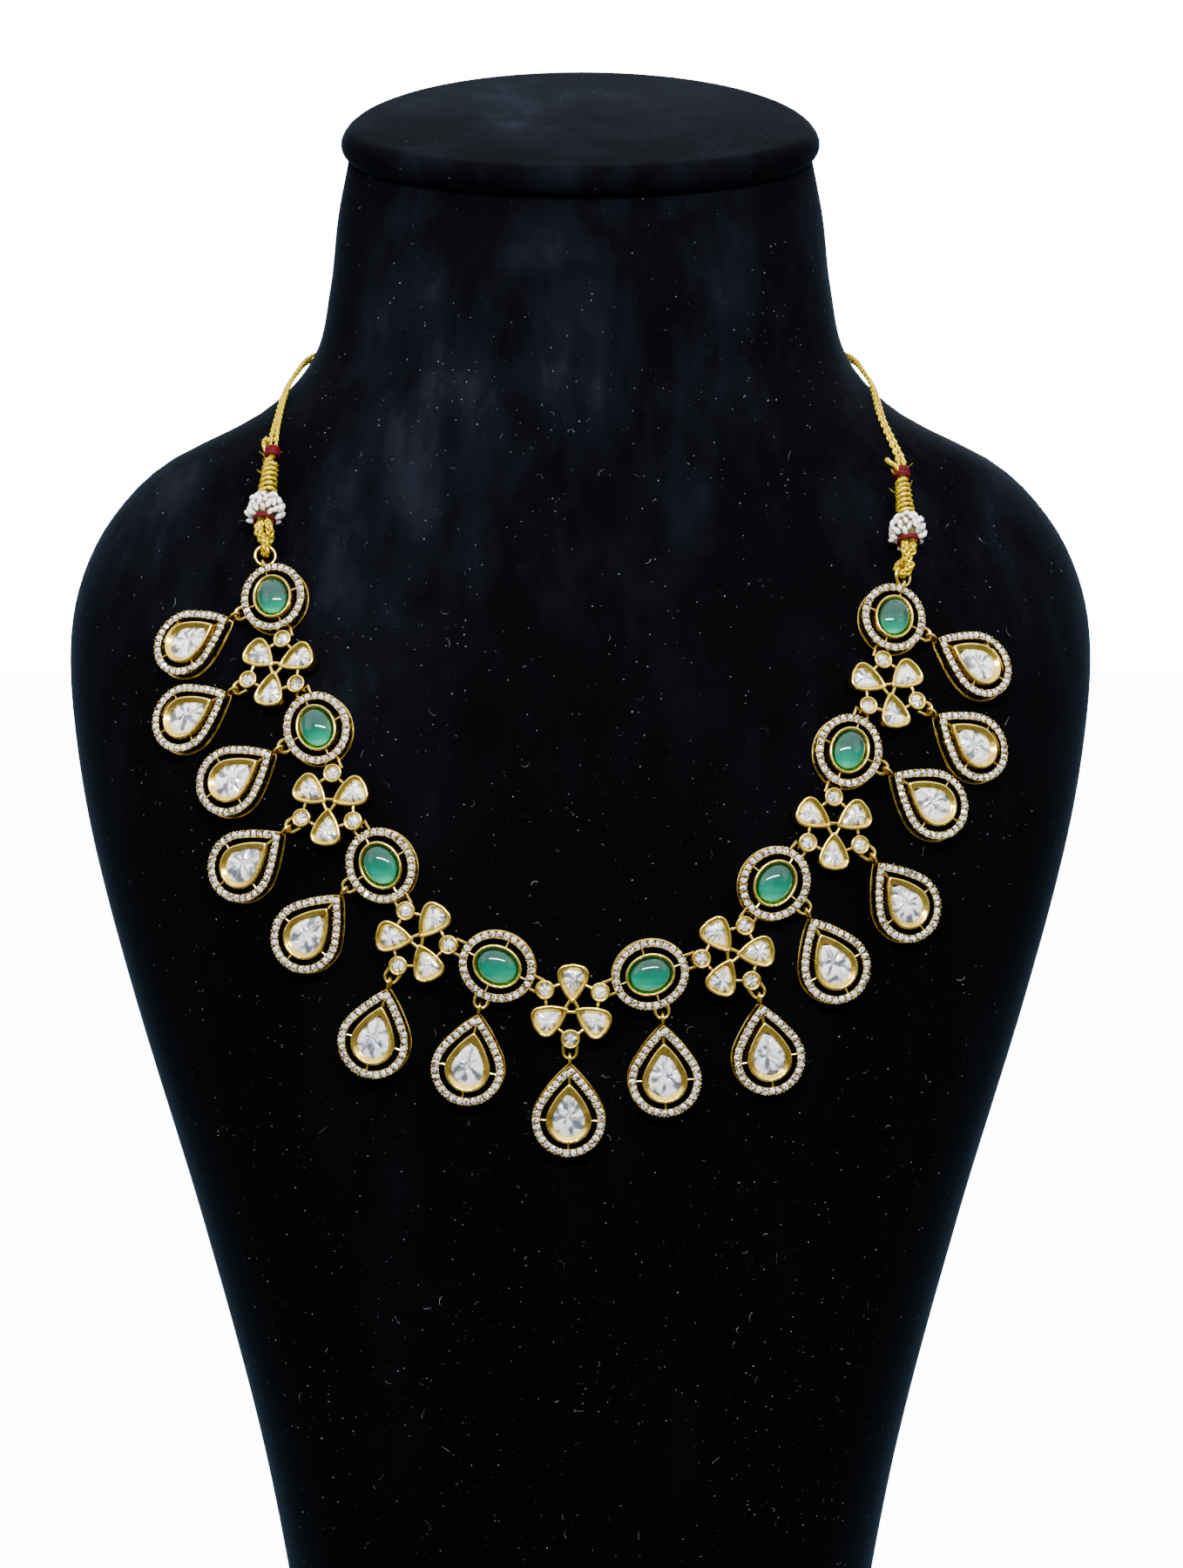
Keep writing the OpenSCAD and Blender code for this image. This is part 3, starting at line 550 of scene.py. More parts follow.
# the brown-black patches and the white in this colour are painted reflections: dark tables and facet sparkle
paint(shader, noise(shader, 1900, 1), [(0.41, (0.13, 0.10, 0.06)), (0.47, (1.0, 0.965, 0.88))])
print(foil.name, brilliant.name)

# %% [markdown]
# The green stones are smooth domes of a milky green. Light that enters the top gathers low in the
# stone, so its lower edge is brighter than its upper one. V of the stone's map runs down the bust.

# %% Green stones
jade, shader = new_shader("green_stone", Roughness=0.03, Subsurface_Weight=0.15, Subsurface_Scale=0.8 * MM,
                          Subsurface_Radius=(0.3, 1.0, 0.7))
# a painted glow: the colour is dark at the top of the stone and bright at its lower edge
depth = ramp(shader, one_axis(shader, coordinates(shader, source="UV"), "Y"),
             [(0.06, (0.001, 0.042, 0.029)), (0.45, (0.002, 0.115, 0.070)),
              (0.72, (0.003, 0.215, 0.122)), (0.97, (0.05, 0.60, 0.38))])
cloud = ramp(shader, noise(shader, 260, 3), [(0.3, grey(0.75)), (0.7, grey(1.1))])
join(shader, blend(shader, depth, cloud), shader.inputs["Base Color"])
print(jade.name)

# %% [markdown]
# The threads are a yellow metallic yarn and a dark red silk, with pearls between them. Yarn shows
# fine fibres along its length, and its map runs along the thread.

# %% Thread and pearl
def thread_material(name, light, dark, metallic, roughness, specular=0.5):
    material, shader = new_shader(name, Metallic=metallic, Roughness=roughness, Specular_IOR_Level=specular)
    fibres = noise(shader, 1.5, 3, 0.6, coordinates(shader, (6, 1.6, 1), "UV"))
    paint(shader, fibres, [(0.40, dark), (0.56, light)])
    bump(shader, fibres, 0.06 * MM, 0.9)
    return material


gold_yarn = thread_material("gold_yarn", (1.0, 0.78, 0.001), (0.34, 0.20, 0.0005), 0.65, 0.24)
red_silk = thread_material("red_silk", (0.10, 0.0004, 0.0045), (0.03, 0.0003, 0.0015), 0.0, 0.6, 0.12)
# the core thread is painted dark brown, though the real core is yellow thread: painted shade in the gaps
# between the pearls and between the turns of the barrel
shaded_core_thread = thread_material("shaded_core_thread", (0.20, 0.14, 0.05), (0.04, 0.028, 0.012), 0.0, 0.8)
pearl, shader = new_shader("seed_pearl", Roughness=0.22, Coat_Weight=0.4, Coat_Roughness=0.08)
paint(shader, noise(shader, 620, 2), [(0.36, (0.44, 0.40, 0.33)), (0.52, (0.93, 0.92, 0.90))])
lint_grey, shader = new_shader("lint", Roughness=0.9)
paint(shader, noise(shader, 300, 1), [(0.35, grey(0.03)), (0.62, (0.30, 0.33, 0.40))])
print(gold_yarn.name, red_silk.name, pearl.name)

# %% [markdown]
# Every piece ends the same way. Doubles are merged, the faces are turned outwards, edges sharper
# than an angle stay crisp, and the object rides on the one body of this part with its place in its
# mesh. Small helpers do all that and count what they made.

# %% Finish a piece
counts = {}
merge = 0.002 * MM


def baked(name, bm, matrix=Matrix()):
    """The mesh of a finished form, put in its place."""
    mesh = bpy.data.meshes.new(name)
    bm.to_mesh(mesh)
    bm.free()
    mesh.transform(matrix)
    return mesh


def to_mesh(name, bm, crisp=35):
    bmesh.ops.remove_doubles(bm, verts=bm.verts, dist=merge)
    bmesh.ops.recalc_face_normals(bm, faces=bm.faces)
    mesh = baked(name, bm)
    mesh.shade_smooth()
    mesh.set_sharp_from_angle(angle=math.radians(crisp))
    return mesh


def show(name, mesh, material, slot, *stands_for):
    for each in material if isinstance(material, tuple) else (material,):
        mesh.materials.append(each)
    piece = add_object(name, mesh)
    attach(piece, "root")
    if stands_for:
        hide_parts(*stands_for)
    counts[name] = sum(len(p.vertices) - 2 for p in mesh.polygons)
    return piece


def show_flat(name, bm, matrix, *rest):
    """Faceted stones and lint keep flat faces."""
    return show(name, baked(name, bm, matrix), *rest)


def stamp(name, mesh, matrix, *rest):
    """A copy of a mesh, put in its place."""
    copy = mesh.copy()
    copy.transform(matrix)
    return show(name, copy, *rest)


print("ready to build")

# %% [markdown]
# Most forms here are loops of points joined by skin: an edge loop is drawn, extruded, and each new
# loop is moved to its own outline. That makes the bust, a setting's wall or a length of yarn. A
# ring-shaped profile comes back to its first loop, and any other is closed with a flat face.

# %% Extrude a loop through outlines
def draw_loop(bm, points):
    verts = [bm.verts.new(p) for p in points]
    return verts, [bm.edges.new((verts[i - 1], verts[i])) for i in range(len(verts))]


def next_loop(bm, verts, edges, points):
    old = set(verts)
    grown = bmesh.ops.extrude_edge_only(bm, edges=edges)["geom"]
    new_edges = [g for g in grown if isinstance(g, bmesh.types.BMEdge) and old.isdisjoint(g.verts)]
    order = {v: i for i, v in enumerate(verts)}
    new_verts = [None] * len(verts)
    for g in grown:
        if isinstance(g, bmesh.types.BMVert):
            root = next(e.other_vert(g) for e in g.link_edges if e.other_vert(g) in order)
            new_verts[order[root]] = g
    for v, p in zip(new_verts, points):
        v.co = p
    return new_verts, new_edges


def loft(bm, loops, closes=False):
    """Skin through loops of points. A profile that closes on itself has no flat ends."""
    verts, edges = draw_loop(bm, loops[0])
    first = edges
    for points in loops[1:] + ([loops[0]] if closes else []):
        verts, edges = next_loop(bm, verts, edges, points)
    if not closes:
        bmesh.ops.edgeloop_fill(bm, edges=first)
        bmesh.ops.edgeloop_fill(bm, edges=edges)


def lift(outline, z):
    return [Vector((x, y, z)) for x, y in outline]


print("loft ready")

# %% [markdown]
# The bust itself. The chest's sections are superellipses, the neck's lean back by degrees, and the
# cap on top has a round rim that stands a little proud. The skin is finer than the solid's, because
# a faceted edge would show against the pale background.

# %% Build the bust
cap_t = 7 * MM
cap_lip = 1.5 * MM
cap_r = cap_t / 2
base_step = 0.6 * MM
base_share = 0.994
neck_end = neck_h - tiny
around = 144
chest_levels = 84
neck_levels = 22
rim_steps = 12


def ring_of(r, grow=0.0, rise=0.0):
    s = math.radians(r[6])
    ring = []
    for j in range(around):
        a = 2 * math.pi * j / around
        c, n = math.cos(a), math.sin(a)
        x = (r[1] + grow) * math.copysign(abs(c)**(2 / r[5]), c)
        d = (-(r[3] + grow) if n < 0 else r[4] + grow) * abs(n)**(2 / r[5])
        ring.append(Vector((x, r[2] + d * math.cos(s) - rise * math.sin(s),
                            r[0] + d * math.sin(s) + rise * math.cos(s))))
    return ring


base = row_at(0)
base_middle = Vector((0, base[2], 0))
rings = [[base_middle.lerp(p, base_share) for p in ring_of(base)], ring_of(row_at(base_step))]
rings += [ring_of(row_at(torso_h * i / chest_levels)) for i in range(1, chest_levels)]
rings += [ring_of(row_at(torso_h + neck_end * i / neck_levels)) for i in range(neck_levels + 1)]
for a in (math.pi * (i / rim_steps - 0.5) for i in range(rim_steps + 1)):
    rings.append(ring_of(row_at(torso_h + neck_end), cap_lip - cap_r + cap_r * math.cos(a),
                         cap_r + cap_r * math.sin(a)))
bm = bmesh.new()
loft(bm, rings)
show("velvet_bust", to_mesh("velvet_bust", bm, 60), velvet, "black_velvet", "neck_bust")
print("bust", counts["velvet_bust"], "triangles")

# %% [markdown]
# Wire is the second basic form. A straight bar is a thin cone with equal ends, and a ring is a small
# circle that is spun about an axis. Both are added to a mesh that is already begun.

# %% Wire helpers
band_w = 1.7 * MM


def add_bar(bm, start, end, radius, sides=8):
    start, end = Vector(start), Vector(end)
    way = (end - start).to_track_quat("Z", "X").to_matrix().to_4x4()
    bmesh.ops.create_cone(bm, cap_ends=True, segments=sides, radius1=radius, radius2=radius,
                          depth=(end - start).length, matrix=move(*(start + end) / 2) @ way)


def add_ring(bm, radius, wire, matrix, degrees=360, steps=28, sides=10):
    """A ring in the XY plane of the matrix, from its +X side."""
    upright = move(radius) @ turn(90, "X")
    circle = bmesh.ops.create_circle(bm, segments=sides, radius=wire, matrix=matrix @ upright)["verts"]
    edges = list({e for v in circle for e in v.link_edges})
    bmesh.ops.spin(bm, geom=circle + edges, cent=matrix.translation, axis=axis(matrix, 2),
                   angle=math.radians(degrees), steps=steps, use_merge=degrees == 360, use_duplicate=False)


def upright_ring(bm, x, radius, wire):
    add_ring(bm, radius, wire, move(x, 0, wire_z) @ turn(90, "X"))


def drop_loop(bm, rim):
    """A half ring on two legs, in the plane of the link, at a distance from its middle."""
    for s in (-1, 1):
        add_bar(bm, (rim - band_w / 2, s * loop_r, wire_z), (rim + loop_leg, s * loop_r, wire_z), wire_r, 10)
    add_ring(bm, loop_r, wire_r, move(rim + loop_leg, 0, wire_z) @ turn(-90), 180, 16)


print("wire ready")

# %% [markdown]
# Each frame has the same build: a band for the fine stones, a gallery under it with long slits over
# a thin rail, and a setting in the middle held by four spokes. Only the outline differs, so the
# outlines come first: an oval, a pear made of three arcs, and a petal with two round corners.

# %% Outlines
half_tip = math.radians(98) / 2
petal_in = 0.7 * MM
petal_out = 8.4 * MM
petal_w = 6.4 * MM
petal_corner = 2 * MM
petal_bulge = 0.18 * MM
corner_x = petal_out - petal_corner
corner_y = petal_w / 2 - petal_corner
side_way = Vector((math.sin(half_tip), -math.cos(half_tip)))
to_corner = Vector((corner_x - petal_in, corner_y))
petal_arc = (to_corner.length_squared - petal_corner**2) / (2 * (to_corner.dot(side_way) - petal_corner))
petal_centre = Vector((petal_in, 0)) + petal_arc * side_way
petal_turn = math.atan2(corner_y - petal_centre.y, corner_x - petal_centre.x)


def arc(x, y, r, start, end, n):
    return [(x + r * math.cos(a), y + r * math.sin(a))
            for a in (start + (end - start) * i / n for i in range(n + 1))]


def oval_outline(length, width, n=72):
    return [(length / 2 * math.cos(2 * math.pi * i / n), width / 2 * math.sin(2 * math.pi * i / n))
            for i in range(n)]


def pear_outline(r, tip, inset, n=14):
    """A round dome towards +X and two flanks that meet in a tip."""
    k = (r * r + tip * tip - 2 * tip * r * math.sin(half_tip)) / (2 * (tip * math.sin(half_tip) - r))
    f = math.acos((r + k) * math.cos(half_tip) / k)
    big = r + k - inset
    start, end = math.pi / 2 + f, math.pi - math.asin(k * math.cos(f) / big)
    flank = arc(k * math.sin(f), -k * math.cos(f), big, start, end, n)[1:]
    return arc(0, 0, r - inset, -start, start, 4 * n) + flank + [(x, -y) for x, y in flank[-2::-1]]


def petal_outline(inset, n=8):
    """Two arcs for the sides, two round corners, and an outer edge that bulges a little."""
    r, big = petal_corner - inset, petal_arc - inset
    end = math.pi - math.asin(-petal_centre.y / big)
    half = arc(corner_x, corner_y, r, 0, petal_turn, n) + arc(*petal_centre, big, petal_turn, end, n)[1:]
    edge = [(corner_x + r + petal_bulge * (1 - (y / corner_y)**2), y)
            for y in (corner_y * (2 * i / n - 1) for i in range(1, n))]
    return half + [(x, -y) for x, y in half[-2::-1]] + edge


print("pear of", len(pear_outline(drop_r, drop_tip, 0)), "points, petal of", len(petal_outline(0)))

# %% [markdown]
# The wall of a setting is turned over the stone: its top edge is round and polished, and inside it
# slopes down to the stone. The band for the fine stones is lower, with a groove that they sit in. Both
# are profiles of inset and height that the loft carries round an outline.

# %% Settings, bands and galleries
soft = 0.12 * MM
frame_h = 3 * MM
band_t = 1.1 * MM
band_lip = 0.08 * MM
band_groove = 0.25 * MM
band_trim = 0.14 * MM
rail_t = 0.5 * MM
rail_soft = 0.08 * MM
post_in = 0.35 * MM
post_down = 0.2 * MM
POST = Matrix.Diagonal((0.8 * MM, 0.45 * MM, frame_h - 1 * MM, 1))
# a setting: bevel at its foot, how far its rim turns over, and the steps of its inner wall
foot_bevel = 0.15 * MM
rim_turn = 150
rim_steps_in = 5
slope_foot = 0.62 * MM
ledge_w = 0.06 * MM
ledge_h = 0.8 * MM
inner_foot = 0.4 * MM


def add_setting(bm, outline, low, high, rim, slope):
    """outline is a function of the inset. rim and slope are the widths of the round edge and inner wall."""
    r = rim / 2
    profile = [(foot_bevel, low), (0, low + foot_bevel), (0, high - r)]
    for a in (math.radians(rim_turn * k / rim_steps_in) for k in range(1, rim_steps_in + 1)):
        profile.append((r - r * math.cos(a), high - r + r * math.sin(a)))
    profile += [(rim + slope - ledge_w, high - slope_foot), (rim + slope, high - ledge_h),
                (rim + slope, low + inner_foot)]
    loft(bm, [lift(outline(inset), z) for inset, z in profile])


def add_strip(bm, outline, low, high, edge, bed=()):
    """A strip with soft edges, as wide as a band or a rail. bed is a groove in its top."""
    width = band_w - 2 * band_trim if bed else rail_t
    profile = [(edge, low), (0, low + edge), (0, high - edge), (edge, high), *bed, (width - edge, high),
               (width, high - edge), (width, low + edge), (width - edge, low)]
    loft(bm, [lift(outline(inset), z) for inset, z in profile], True)


def add_band(bm, outline):
    """The band that carries the fine stones, a little trimmed, with a bed of painted shade between its lips.
    """
    width, floor_z = band_w - 2 * band_trim, frame_h - band_groove
    bed = [(band_lip, frame_h), (band_lip + soft, floor_z), (width - band_lip - soft, floor_z),
           (width - band_lip, frame_h)]
    add_strip(bm, lambda inset: outline(inset + band_trim), frame_h - band_t, frame_h, soft, bed)
    # the faces of the bed take the second metal: painted shade between the stones
    for face in bm.faces:
        if abs(min(v.co.z for v in face.verts) - floor_z) < tiny:
            face.material_index = 1


def spaced(outline, count, shift=0.5):
    """Places at even distances round an outline: point and heading."""
    points = [Vector(p) for p in outline]
    walked = distances(points + points[:1])
    places, i = [], 0
    for target in (walked[-1] * (k + shift) / count for k in range(count)):
        while walked[i + 1] < target:
            i += 1
        a, b = points[i], points[(i + 1) % len(points)]
        share = (target - walked[i]) / (walked[i + 1] - walked[i])
        places.append((a.lerp(b, share), math.atan2((b - a).y, (b - a).x)))
    return places


def add_gallery(bm, outline, posts):
    """The rail at the back, and posts that carry the band."""
    add_strip(bm, outline, 0, rail_t, rail_soft)
    for p, heading in spaced(outline(0), posts):
        place = move(p.x, p.y, frame_h / 2) @ spun(heading) @ move(0, post_in, -post_down)
        bmesh.ops.create_cube(bm, size=1, matrix=place @ POST)


print("profiles ready")

# %% [markdown]
# A pear drop: the band and gallery, the pear setting, three thin spokes and a thicker one under the
# tip, and the bail ring that stands across the frame. It is modelled once and stamped fifteen times.

# %% Build the pear drops
cup_low = 0.8 * MM
cut_top = frame_h + 0.5 * MM
spoke_r = 0.2 * MM
spoke_z = frame_h - band_t + 0.4 * MM
spoke_in = 0.3 * MM
pear_r = 4.55 * MM
pear_tip = 7.6 * MM
frame_metals = (brushed_gold, painted_shade_gold)


def drop_outline(inset):
    return pear_outline(drop_r, drop_tip, inset)


def pear_setting(inset):
    return pear_outline(pear_r, pear_tip, inset)


def add_spoke(bm, degrees, start, end, radius=spoke_r):
    c, s = math.cos(math.radians(degrees)), math.sin(math.radians(degrees))
    add_bar(bm, (c * start, s * start, spoke_z), (c * end, s * end, spoke_z), radius)


bm = bmesh.new()
add_band(bm, drop_outline)
add_gallery(bm, drop_outline, 7)
add_setting(bm, pear_setting, cup_low, cut_top, 0.7 * MM, 0.66 * MM)
for a in (0, -90, 90):
    add_spoke(bm, a, pear_r - spoke_in, drop_r - band_w / 2)
add_spoke(bm, 180, pear_tip - 0.6 * MM, drop_tip - band_w, 0.32 * MM)
upright_ring(bm, -drop_lever, bail_r, wire_r)
pear_frame = to_mesh("pear_frame", bm)
for i, place in enumerate(DROPS, 1):
    stamp(f"pear_drop_{i}", pear_frame, seat(place), frame_metals, "antique_gold", f"drop_frame_{i}")
print("pear drop", counts["pear_drop_1"], "triangles")

# %% [markdown]
# An oval link: the same build on an oval, with a hinge bar at the end towards the next flower. The
# outermost ovals end in an upright bail ring instead. A loop on the outer side carries the drop.

# %% Build the oval links
oval_cup_l = 10.1 * MM
oval_cup_w = 8.4 * MM
hinge_half = 1.4 * MM
hinge_wire_r = 0.3 * MM


def link_outline(inset):
    return oval_outline(oval_l - 2 * inset, oval_w - 2 * inset)


def oval_setting(inset):
    return oval_outline(oval_cup_l - 2 * inset, oval_cup_w - 2 * inset, 60)


def hinge_bar(bm, way):
    far, half = way * oval_lever, hinge_half + hinge_wire_r
    for y in (-hinge_half, hinge_half):
        add_bar(bm, (way * (oval_l / 2 - band_w / 2), y, wire_z), (far, y, wire_z), hinge_wire_r, 10)
    add_bar(bm, (far, -half, wire_z), (far, half, wire_z), hinge_wire_r, 10)


def turned_mesh(build, degrees, *values):
    """Builds a small part at +X and turns it about the middle of the link."""
    part = bmesh.new()
    build(part, *values)
    return baked("part", part, turn(degrees))


for i, place in enumerate(OVALS, 1):
    bm = bmesh.new()
    add_band(bm, link_outline)
    add_gallery(bm, link_outline, 8)
    add_setting(bm, oval_setting, cup_low, cut_top, 0.56 * MM, 0.5 * MM)
    for a, cup, rim in ((0, oval_cup_l, oval_l), (90, oval_cup_w, oval_w), (180, oval_cup_l, oval_l),
                        (270, oval_cup_w, oval_w)):
        add_spoke(bm, a, cup / 2 - spoke_in, rim / 2 - band_w / 2)
    hinge_bar(bm, -1)
    if i in (1, len(OVALS)):
        upright_ring(bm, bail_x, bail_r, wire_r)
    else:
        hinge_bar(bm, 1)
    bm.from_mesh(turned_mesh(drop_loop, OVAL_ARMS[i - 1], oval_w / 2))
    stamp(f"oval_frame_{i}", to_mesh("oval_frame", bm), seat(place), frame_metals, "antique_gold",
          f"oval_link_{i}")
print("oval link", counts["oval_frame_2"], "triangles")

# %% [markdown]
# A flower link: three petal settings point to a small hole in the middle, with three round cups
# between them. Beads of solder join petals and cups, and three short bars join the petal points.
# Two cups are shallow, because the hinge rings of the neighbours stand under them.

# %% Build the flower links
arms = (60, 180, 300)
hinge_ring_r = 0.95 * MM
shallow_low = wire_z + hinge_ring_r
shallow_high = shallow_low + 1 * MM
bar_z = shallow_low + 0.4 * MM
solder_r = 0.3 * MM
bead_r = 0.42 * MM
tip_bar_x = 1 * MM
tip_bar_half = 1.1 * MM
tip_bar_r = 0.36 * MM
to_petal = petal_centre - round_at * Vector((math.cos(math.pi / 3), math.sin(math.pi / 3)))
to_petal_turn = math.atan2(to_petal.y, to_petal.x) - math.pi / 3
cup_to_petal = to_petal.length - petal_arc


def round_setting(inset):
    return [(round_at + x, y) for x, y in oval_outline(2 * (round_r - inset), 2 * (round_r - inset), 32)]


def petal(bm):
    add_setting(bm, petal_outline, cup_low, shallow_high, 0.66 * MM, 0.56 * MM)


def solder(bm):
    root = Vector((round_at, 0, bar_z))
    for a in (-to_petal_turn, to_petal_turn):
        e = Vector((math.cos(a), math.sin(a), 0))
        add_bar(bm, root + (round_r - solder_r) * e, root + (cup_to_petal + solder_r) * e, solder_r)
        bead = root + (round_r + cup_to_petal) / 2 * e
        bmesh.ops.create_icosphere(bm, subdivisions=2, radius=bead_r, matrix=move(*bead))
    add_bar(bm, (tip_bar_x, -tip_bar_half, bar_z), (tip_bar_x, tip_bar_half, bar_z), tip_bar_r, 12)


def cup(bm, carries_drop):
    low = cup_low if carries_drop else shallow_low
    add_setting(bm, round_setting, low, shallow_high, 0.5 * MM, 0.36 * MM)
    if carries_drop:
        drop_loop(bm, round_at + round_r)
    else:
        upright_ring(bm, flower_lever, hinge_ring_r, hinge_wire_r)


for i, place in enumerate(FLOWERS, 1):
    bm = bmesh.new()
    for a in arms:
        bm.from_mesh(turned_mesh(petal, a + 180))
        bm.from_mesh(turned_mesh(solder, a))
        bm.from_mesh(turned_mesh(cup, a, (a - FLOWER_ARMS[i - 1]) % 360 == 0))
    stamp(f"flower_frame_{i}", to_mesh("flower_frame", bm), seat(place), gold, "antique_gold",
          f"flower_link_{i}")
print("flower link", counts["flower_frame_4"], "triangles")

# %% [markdown]
# The halos hold rows of small brilliants. One stone is a low cone with a flat table whose slanted
# edges are bevelled, so it has two rows of facets. The stones sit shoulder to shoulder and small
# beads of metal at the joints hold them. Every stone is turned at random, which makes them sparkle.

# %% Build the halo stones
halo_r = 0.68 * MM
halo_long = 1.24
table_r = 0.36 * MM
crown_h = 0.38 * MM
facet_w = 0.12 * MM
under_r = 0.3 * MM
under_h = 0.3 * MM
halo_sink = 0.04 * MM
halo_lean = 0.2
bead_out = 0.66 * MM
bead_rise = 0.06 * MM
bm = bmesh.new()
bmesh.ops.create_cone(bm, cap_ends=True, segments=8, radius1=halo_r, radius2=table_r, depth=crown_h,
                      matrix=move(0, 0, crown_h / 2))
slanted = [e for e in bm.edges if abs(e.verts[0].co.z - e.verts[1].co.z) > crown_h / 2]
bmesh.ops.bevel(bm, geom=slanted, offset=facet_w, affect="EDGES", segments=1, profile=0.5, material=-1)
bmesh.ops.create_cone(bm, cap_ends=False, segments=8, radius1=under_r, radius2=halo_r - 0.05 * MM,
                      depth=under_h, matrix=move(0, 0, -under_h / 2))
halo_stone = baked("halo_stone", bm)
bm = bmesh.new()
bmesh.ops.create_icosphere(bm, subdivisions=1, radius=0.2 * MM)
grain_bead = baked("grain_bead", bm)


def add_copy(bm, mesh, matrix):
    before = len(bm.verts)
    bm.from_mesh(mesh)
    bm.verts.ensure_lookup_table()
    bmesh.ops.transform(bm, matrix=matrix, verts=bm.verts[before:])


def halo(outline, count):
    """The stones and the beads of one halo, in the frame of its link."""
    stones, beads = bmesh.new(), bmesh.new()
    for p, heading in spaced(outline, count):
        tilts = [random.uniform(-halo_lean, halo_lean) for _ in range(2)]
        lean = spun(tilts[0], "X") @ spun(tilts[1], "Y")
        across = spun(heading) @ Matrix.Diagonal((1, halo_long, 1, 1))
        place = move(p.x, p.y, frame_h - halo_sink) @ lean @ across
        add_copy(stones, halo_stone, place @ spun(random.uniform(0, math.pi)))
    for p, heading in spaced(outline, count, 0):
        side = Vector((-math.sin(heading), math.cos(heading)))
        for q in (p - bead_out * side, p + bead_out * side):
            add_copy(beads, grain_bead, move(q.x, q.y, frame_h + bead_rise))
    return stones, beads


for kind, places, outline, count in (("oval", OVALS, link_outline(band_w / 2), 28),
                                     ("pear", DROPS, drop_outline(band_w / 2), 32)):
    for i, place in enumerate(places, 1):
        stones, beads = halo(outline, count)
        show_flat(f"{kind}_halo_stones_{i}", stones, seat(place), brilliant, "clear_stone")
        show_flat(f"{kind}_halo_beads_{i}", beads, seat(place), gold, "antique_gold")
print("halo", counts["pear_halo_stones_1"], "+", counts["pear_halo_beads_1"], "triangles a drop")

# %% [markdown]
# The stones in the settings are cut by hand. Their outline is the inside of the setting, the table
# is flat but uneven, and a few facets run from it to the edge. The mesh is a row of rings whose
# points are moved up and down at random, with flat faces.

# %% Build the foil-backed stones
stone_low = cup_low + 0.55 * MM
uneven = 0.13 * MM
girdle = 0.5 * MM
table_in = 0.35 * MM
pear_middle = -1 * MM
petal_middle = 5.6 * MM
map_r = 5 * MM
# how large each ring is, and how far it lies below the table
FACETS = ((0.74, 0.2 * MM), (0.34, 0.05 * MM))
PEAR_STONE = pear_setting(1.34 * MM)[::6]
PETAL_STONE = petal_outline(1.2 * MM)[::4]
ROUND_STONE = oval_outline(2 * (round_r - 0.84 * MM), 2 * (round_r - 0.84 * MM), 12)


def foil_stone(number, matrix, outline, middle, low, high):
    """One stone. Its rings shrink towards the middle, and its number shifts its map."""
    centre = Vector((middle, 0, 0))
    loops = [lift(outline, low), lift(outline, high - girdle)]
    for share, drop in FACETS:
        loops.append([centre.lerp(Vector((x, y, 0)), share)
                      + Vector((0, 0, high - drop + random.uniform(-uneven, uneven))) for x, y in outline])
    bm = bmesh.new()
    uv = bm.loops.layers.uv.new("streaks")
    loft(bm, loops)
    for face in bm.faces:
        for corner in face.loops:
            away = corner.vert.co - centre
            u = math.atan2(away.y, away.x) / (2 * math.pi)
            corner[uv].uv = (u + number * 0.37, away.xy.length / map_r + number * 0.61)
    return baked("stone", bm, matrix)


def foil_piece(name, stones, node):
    bm = bmesh.new()
    bm.loops.layers.uv.new("streaks")
    for number, stone in enumerate(stones, 1):
        bm.from_mesh(foil_stone(number, *stone))
    bmesh.ops.recalc_face_normals(bm, faces=bm.faces)
    show_flat(name, bm, Matrix(), foil, "clear_stone", node)


petal_places = [seat(p) @ turn(a + 180) for p in FLOWERS for a in arms]
cup_places = [seat(p) @ turn(a) @ move(round_at) for p in FLOWERS for a in arms]
foil_piece("pear_stones", [(seat(p), PEAR_STONE, pear_middle, stone_low, cut_top - table_in) for p in DROPS],
           "drop_stones")
foil_piece("flower_stones", [(p, PETAL_STONE, petal_middle, stone_low, shallow_high - table_in)
                             for p in petal_places], "petal_stones")
foil_piece("cup_stones", [(p, ROUND_STONE, 0, shallow_low + 0.45 * MM, shallow_high - 0.2 * MM)
                          for p in cup_places], "round_stones")
print("pear stones", counts["pear_stones"], "triangles")

# %% [markdown]
# The green cabochons are smooth half balls on an oval base. A ball is created, cut off below its
# middle, and stretched. Its map says how far down the bust each point lies, for the painted glow.

# %% Build the green stones
dome_h = 1.85 * MM
dome_in = 1.04 * MM
dome_z = cut_top - 0.45 * MM
dome_size = Matrix.Diagonal((oval_cup_l / 2 - dome_in, oval_cup_w / 2 - dome_in, dome_h, 1))
for i, place in enumerate(OVALS, 1):
    bm = bmesh.new()
    bmesh.ops.create_uvsphere(bm, u_segments=48, v_segments=32, radius=1)
    sphere = bm.verts[:] + bm.edges[:] + bm.faces[:]
    bmesh.ops.bisect_plane(bm, geom=sphere, plane_co=(0, 0, -0.2), plane_no=(0, 0, 1), clear_inner=True)
    bmesh.ops.edgeloop_fill(bm, edges=[e for e in bm.edges if e.is_boundary])
    bmesh.ops.transform(bm, matrix=move(0, 0, dome_z) @ dome_size, verts=bm.verts)
    uv = bm.loops.layers.uv.new("depth")
    down = (seat(place).to_3x3().inverted() @ Vector((0, 0, -1))).normalized()
    reach_down = max(v.co.dot(down) for v in bm.verts)
    for face in bm.faces:
        for corner in face.loops:
            corner[uv].uv = (0.5, 0.5 + 0.5 * corner.vert.co.dot(down) / reach_down)
    stamp(f"green_cabochon_{i}", to_mesh("green_dome", bm, 60), seat(place), jade, "green_stone",
          f"green_stone_{i}")
print("cabochon", counts["green_cabochon_1"], "triangles")

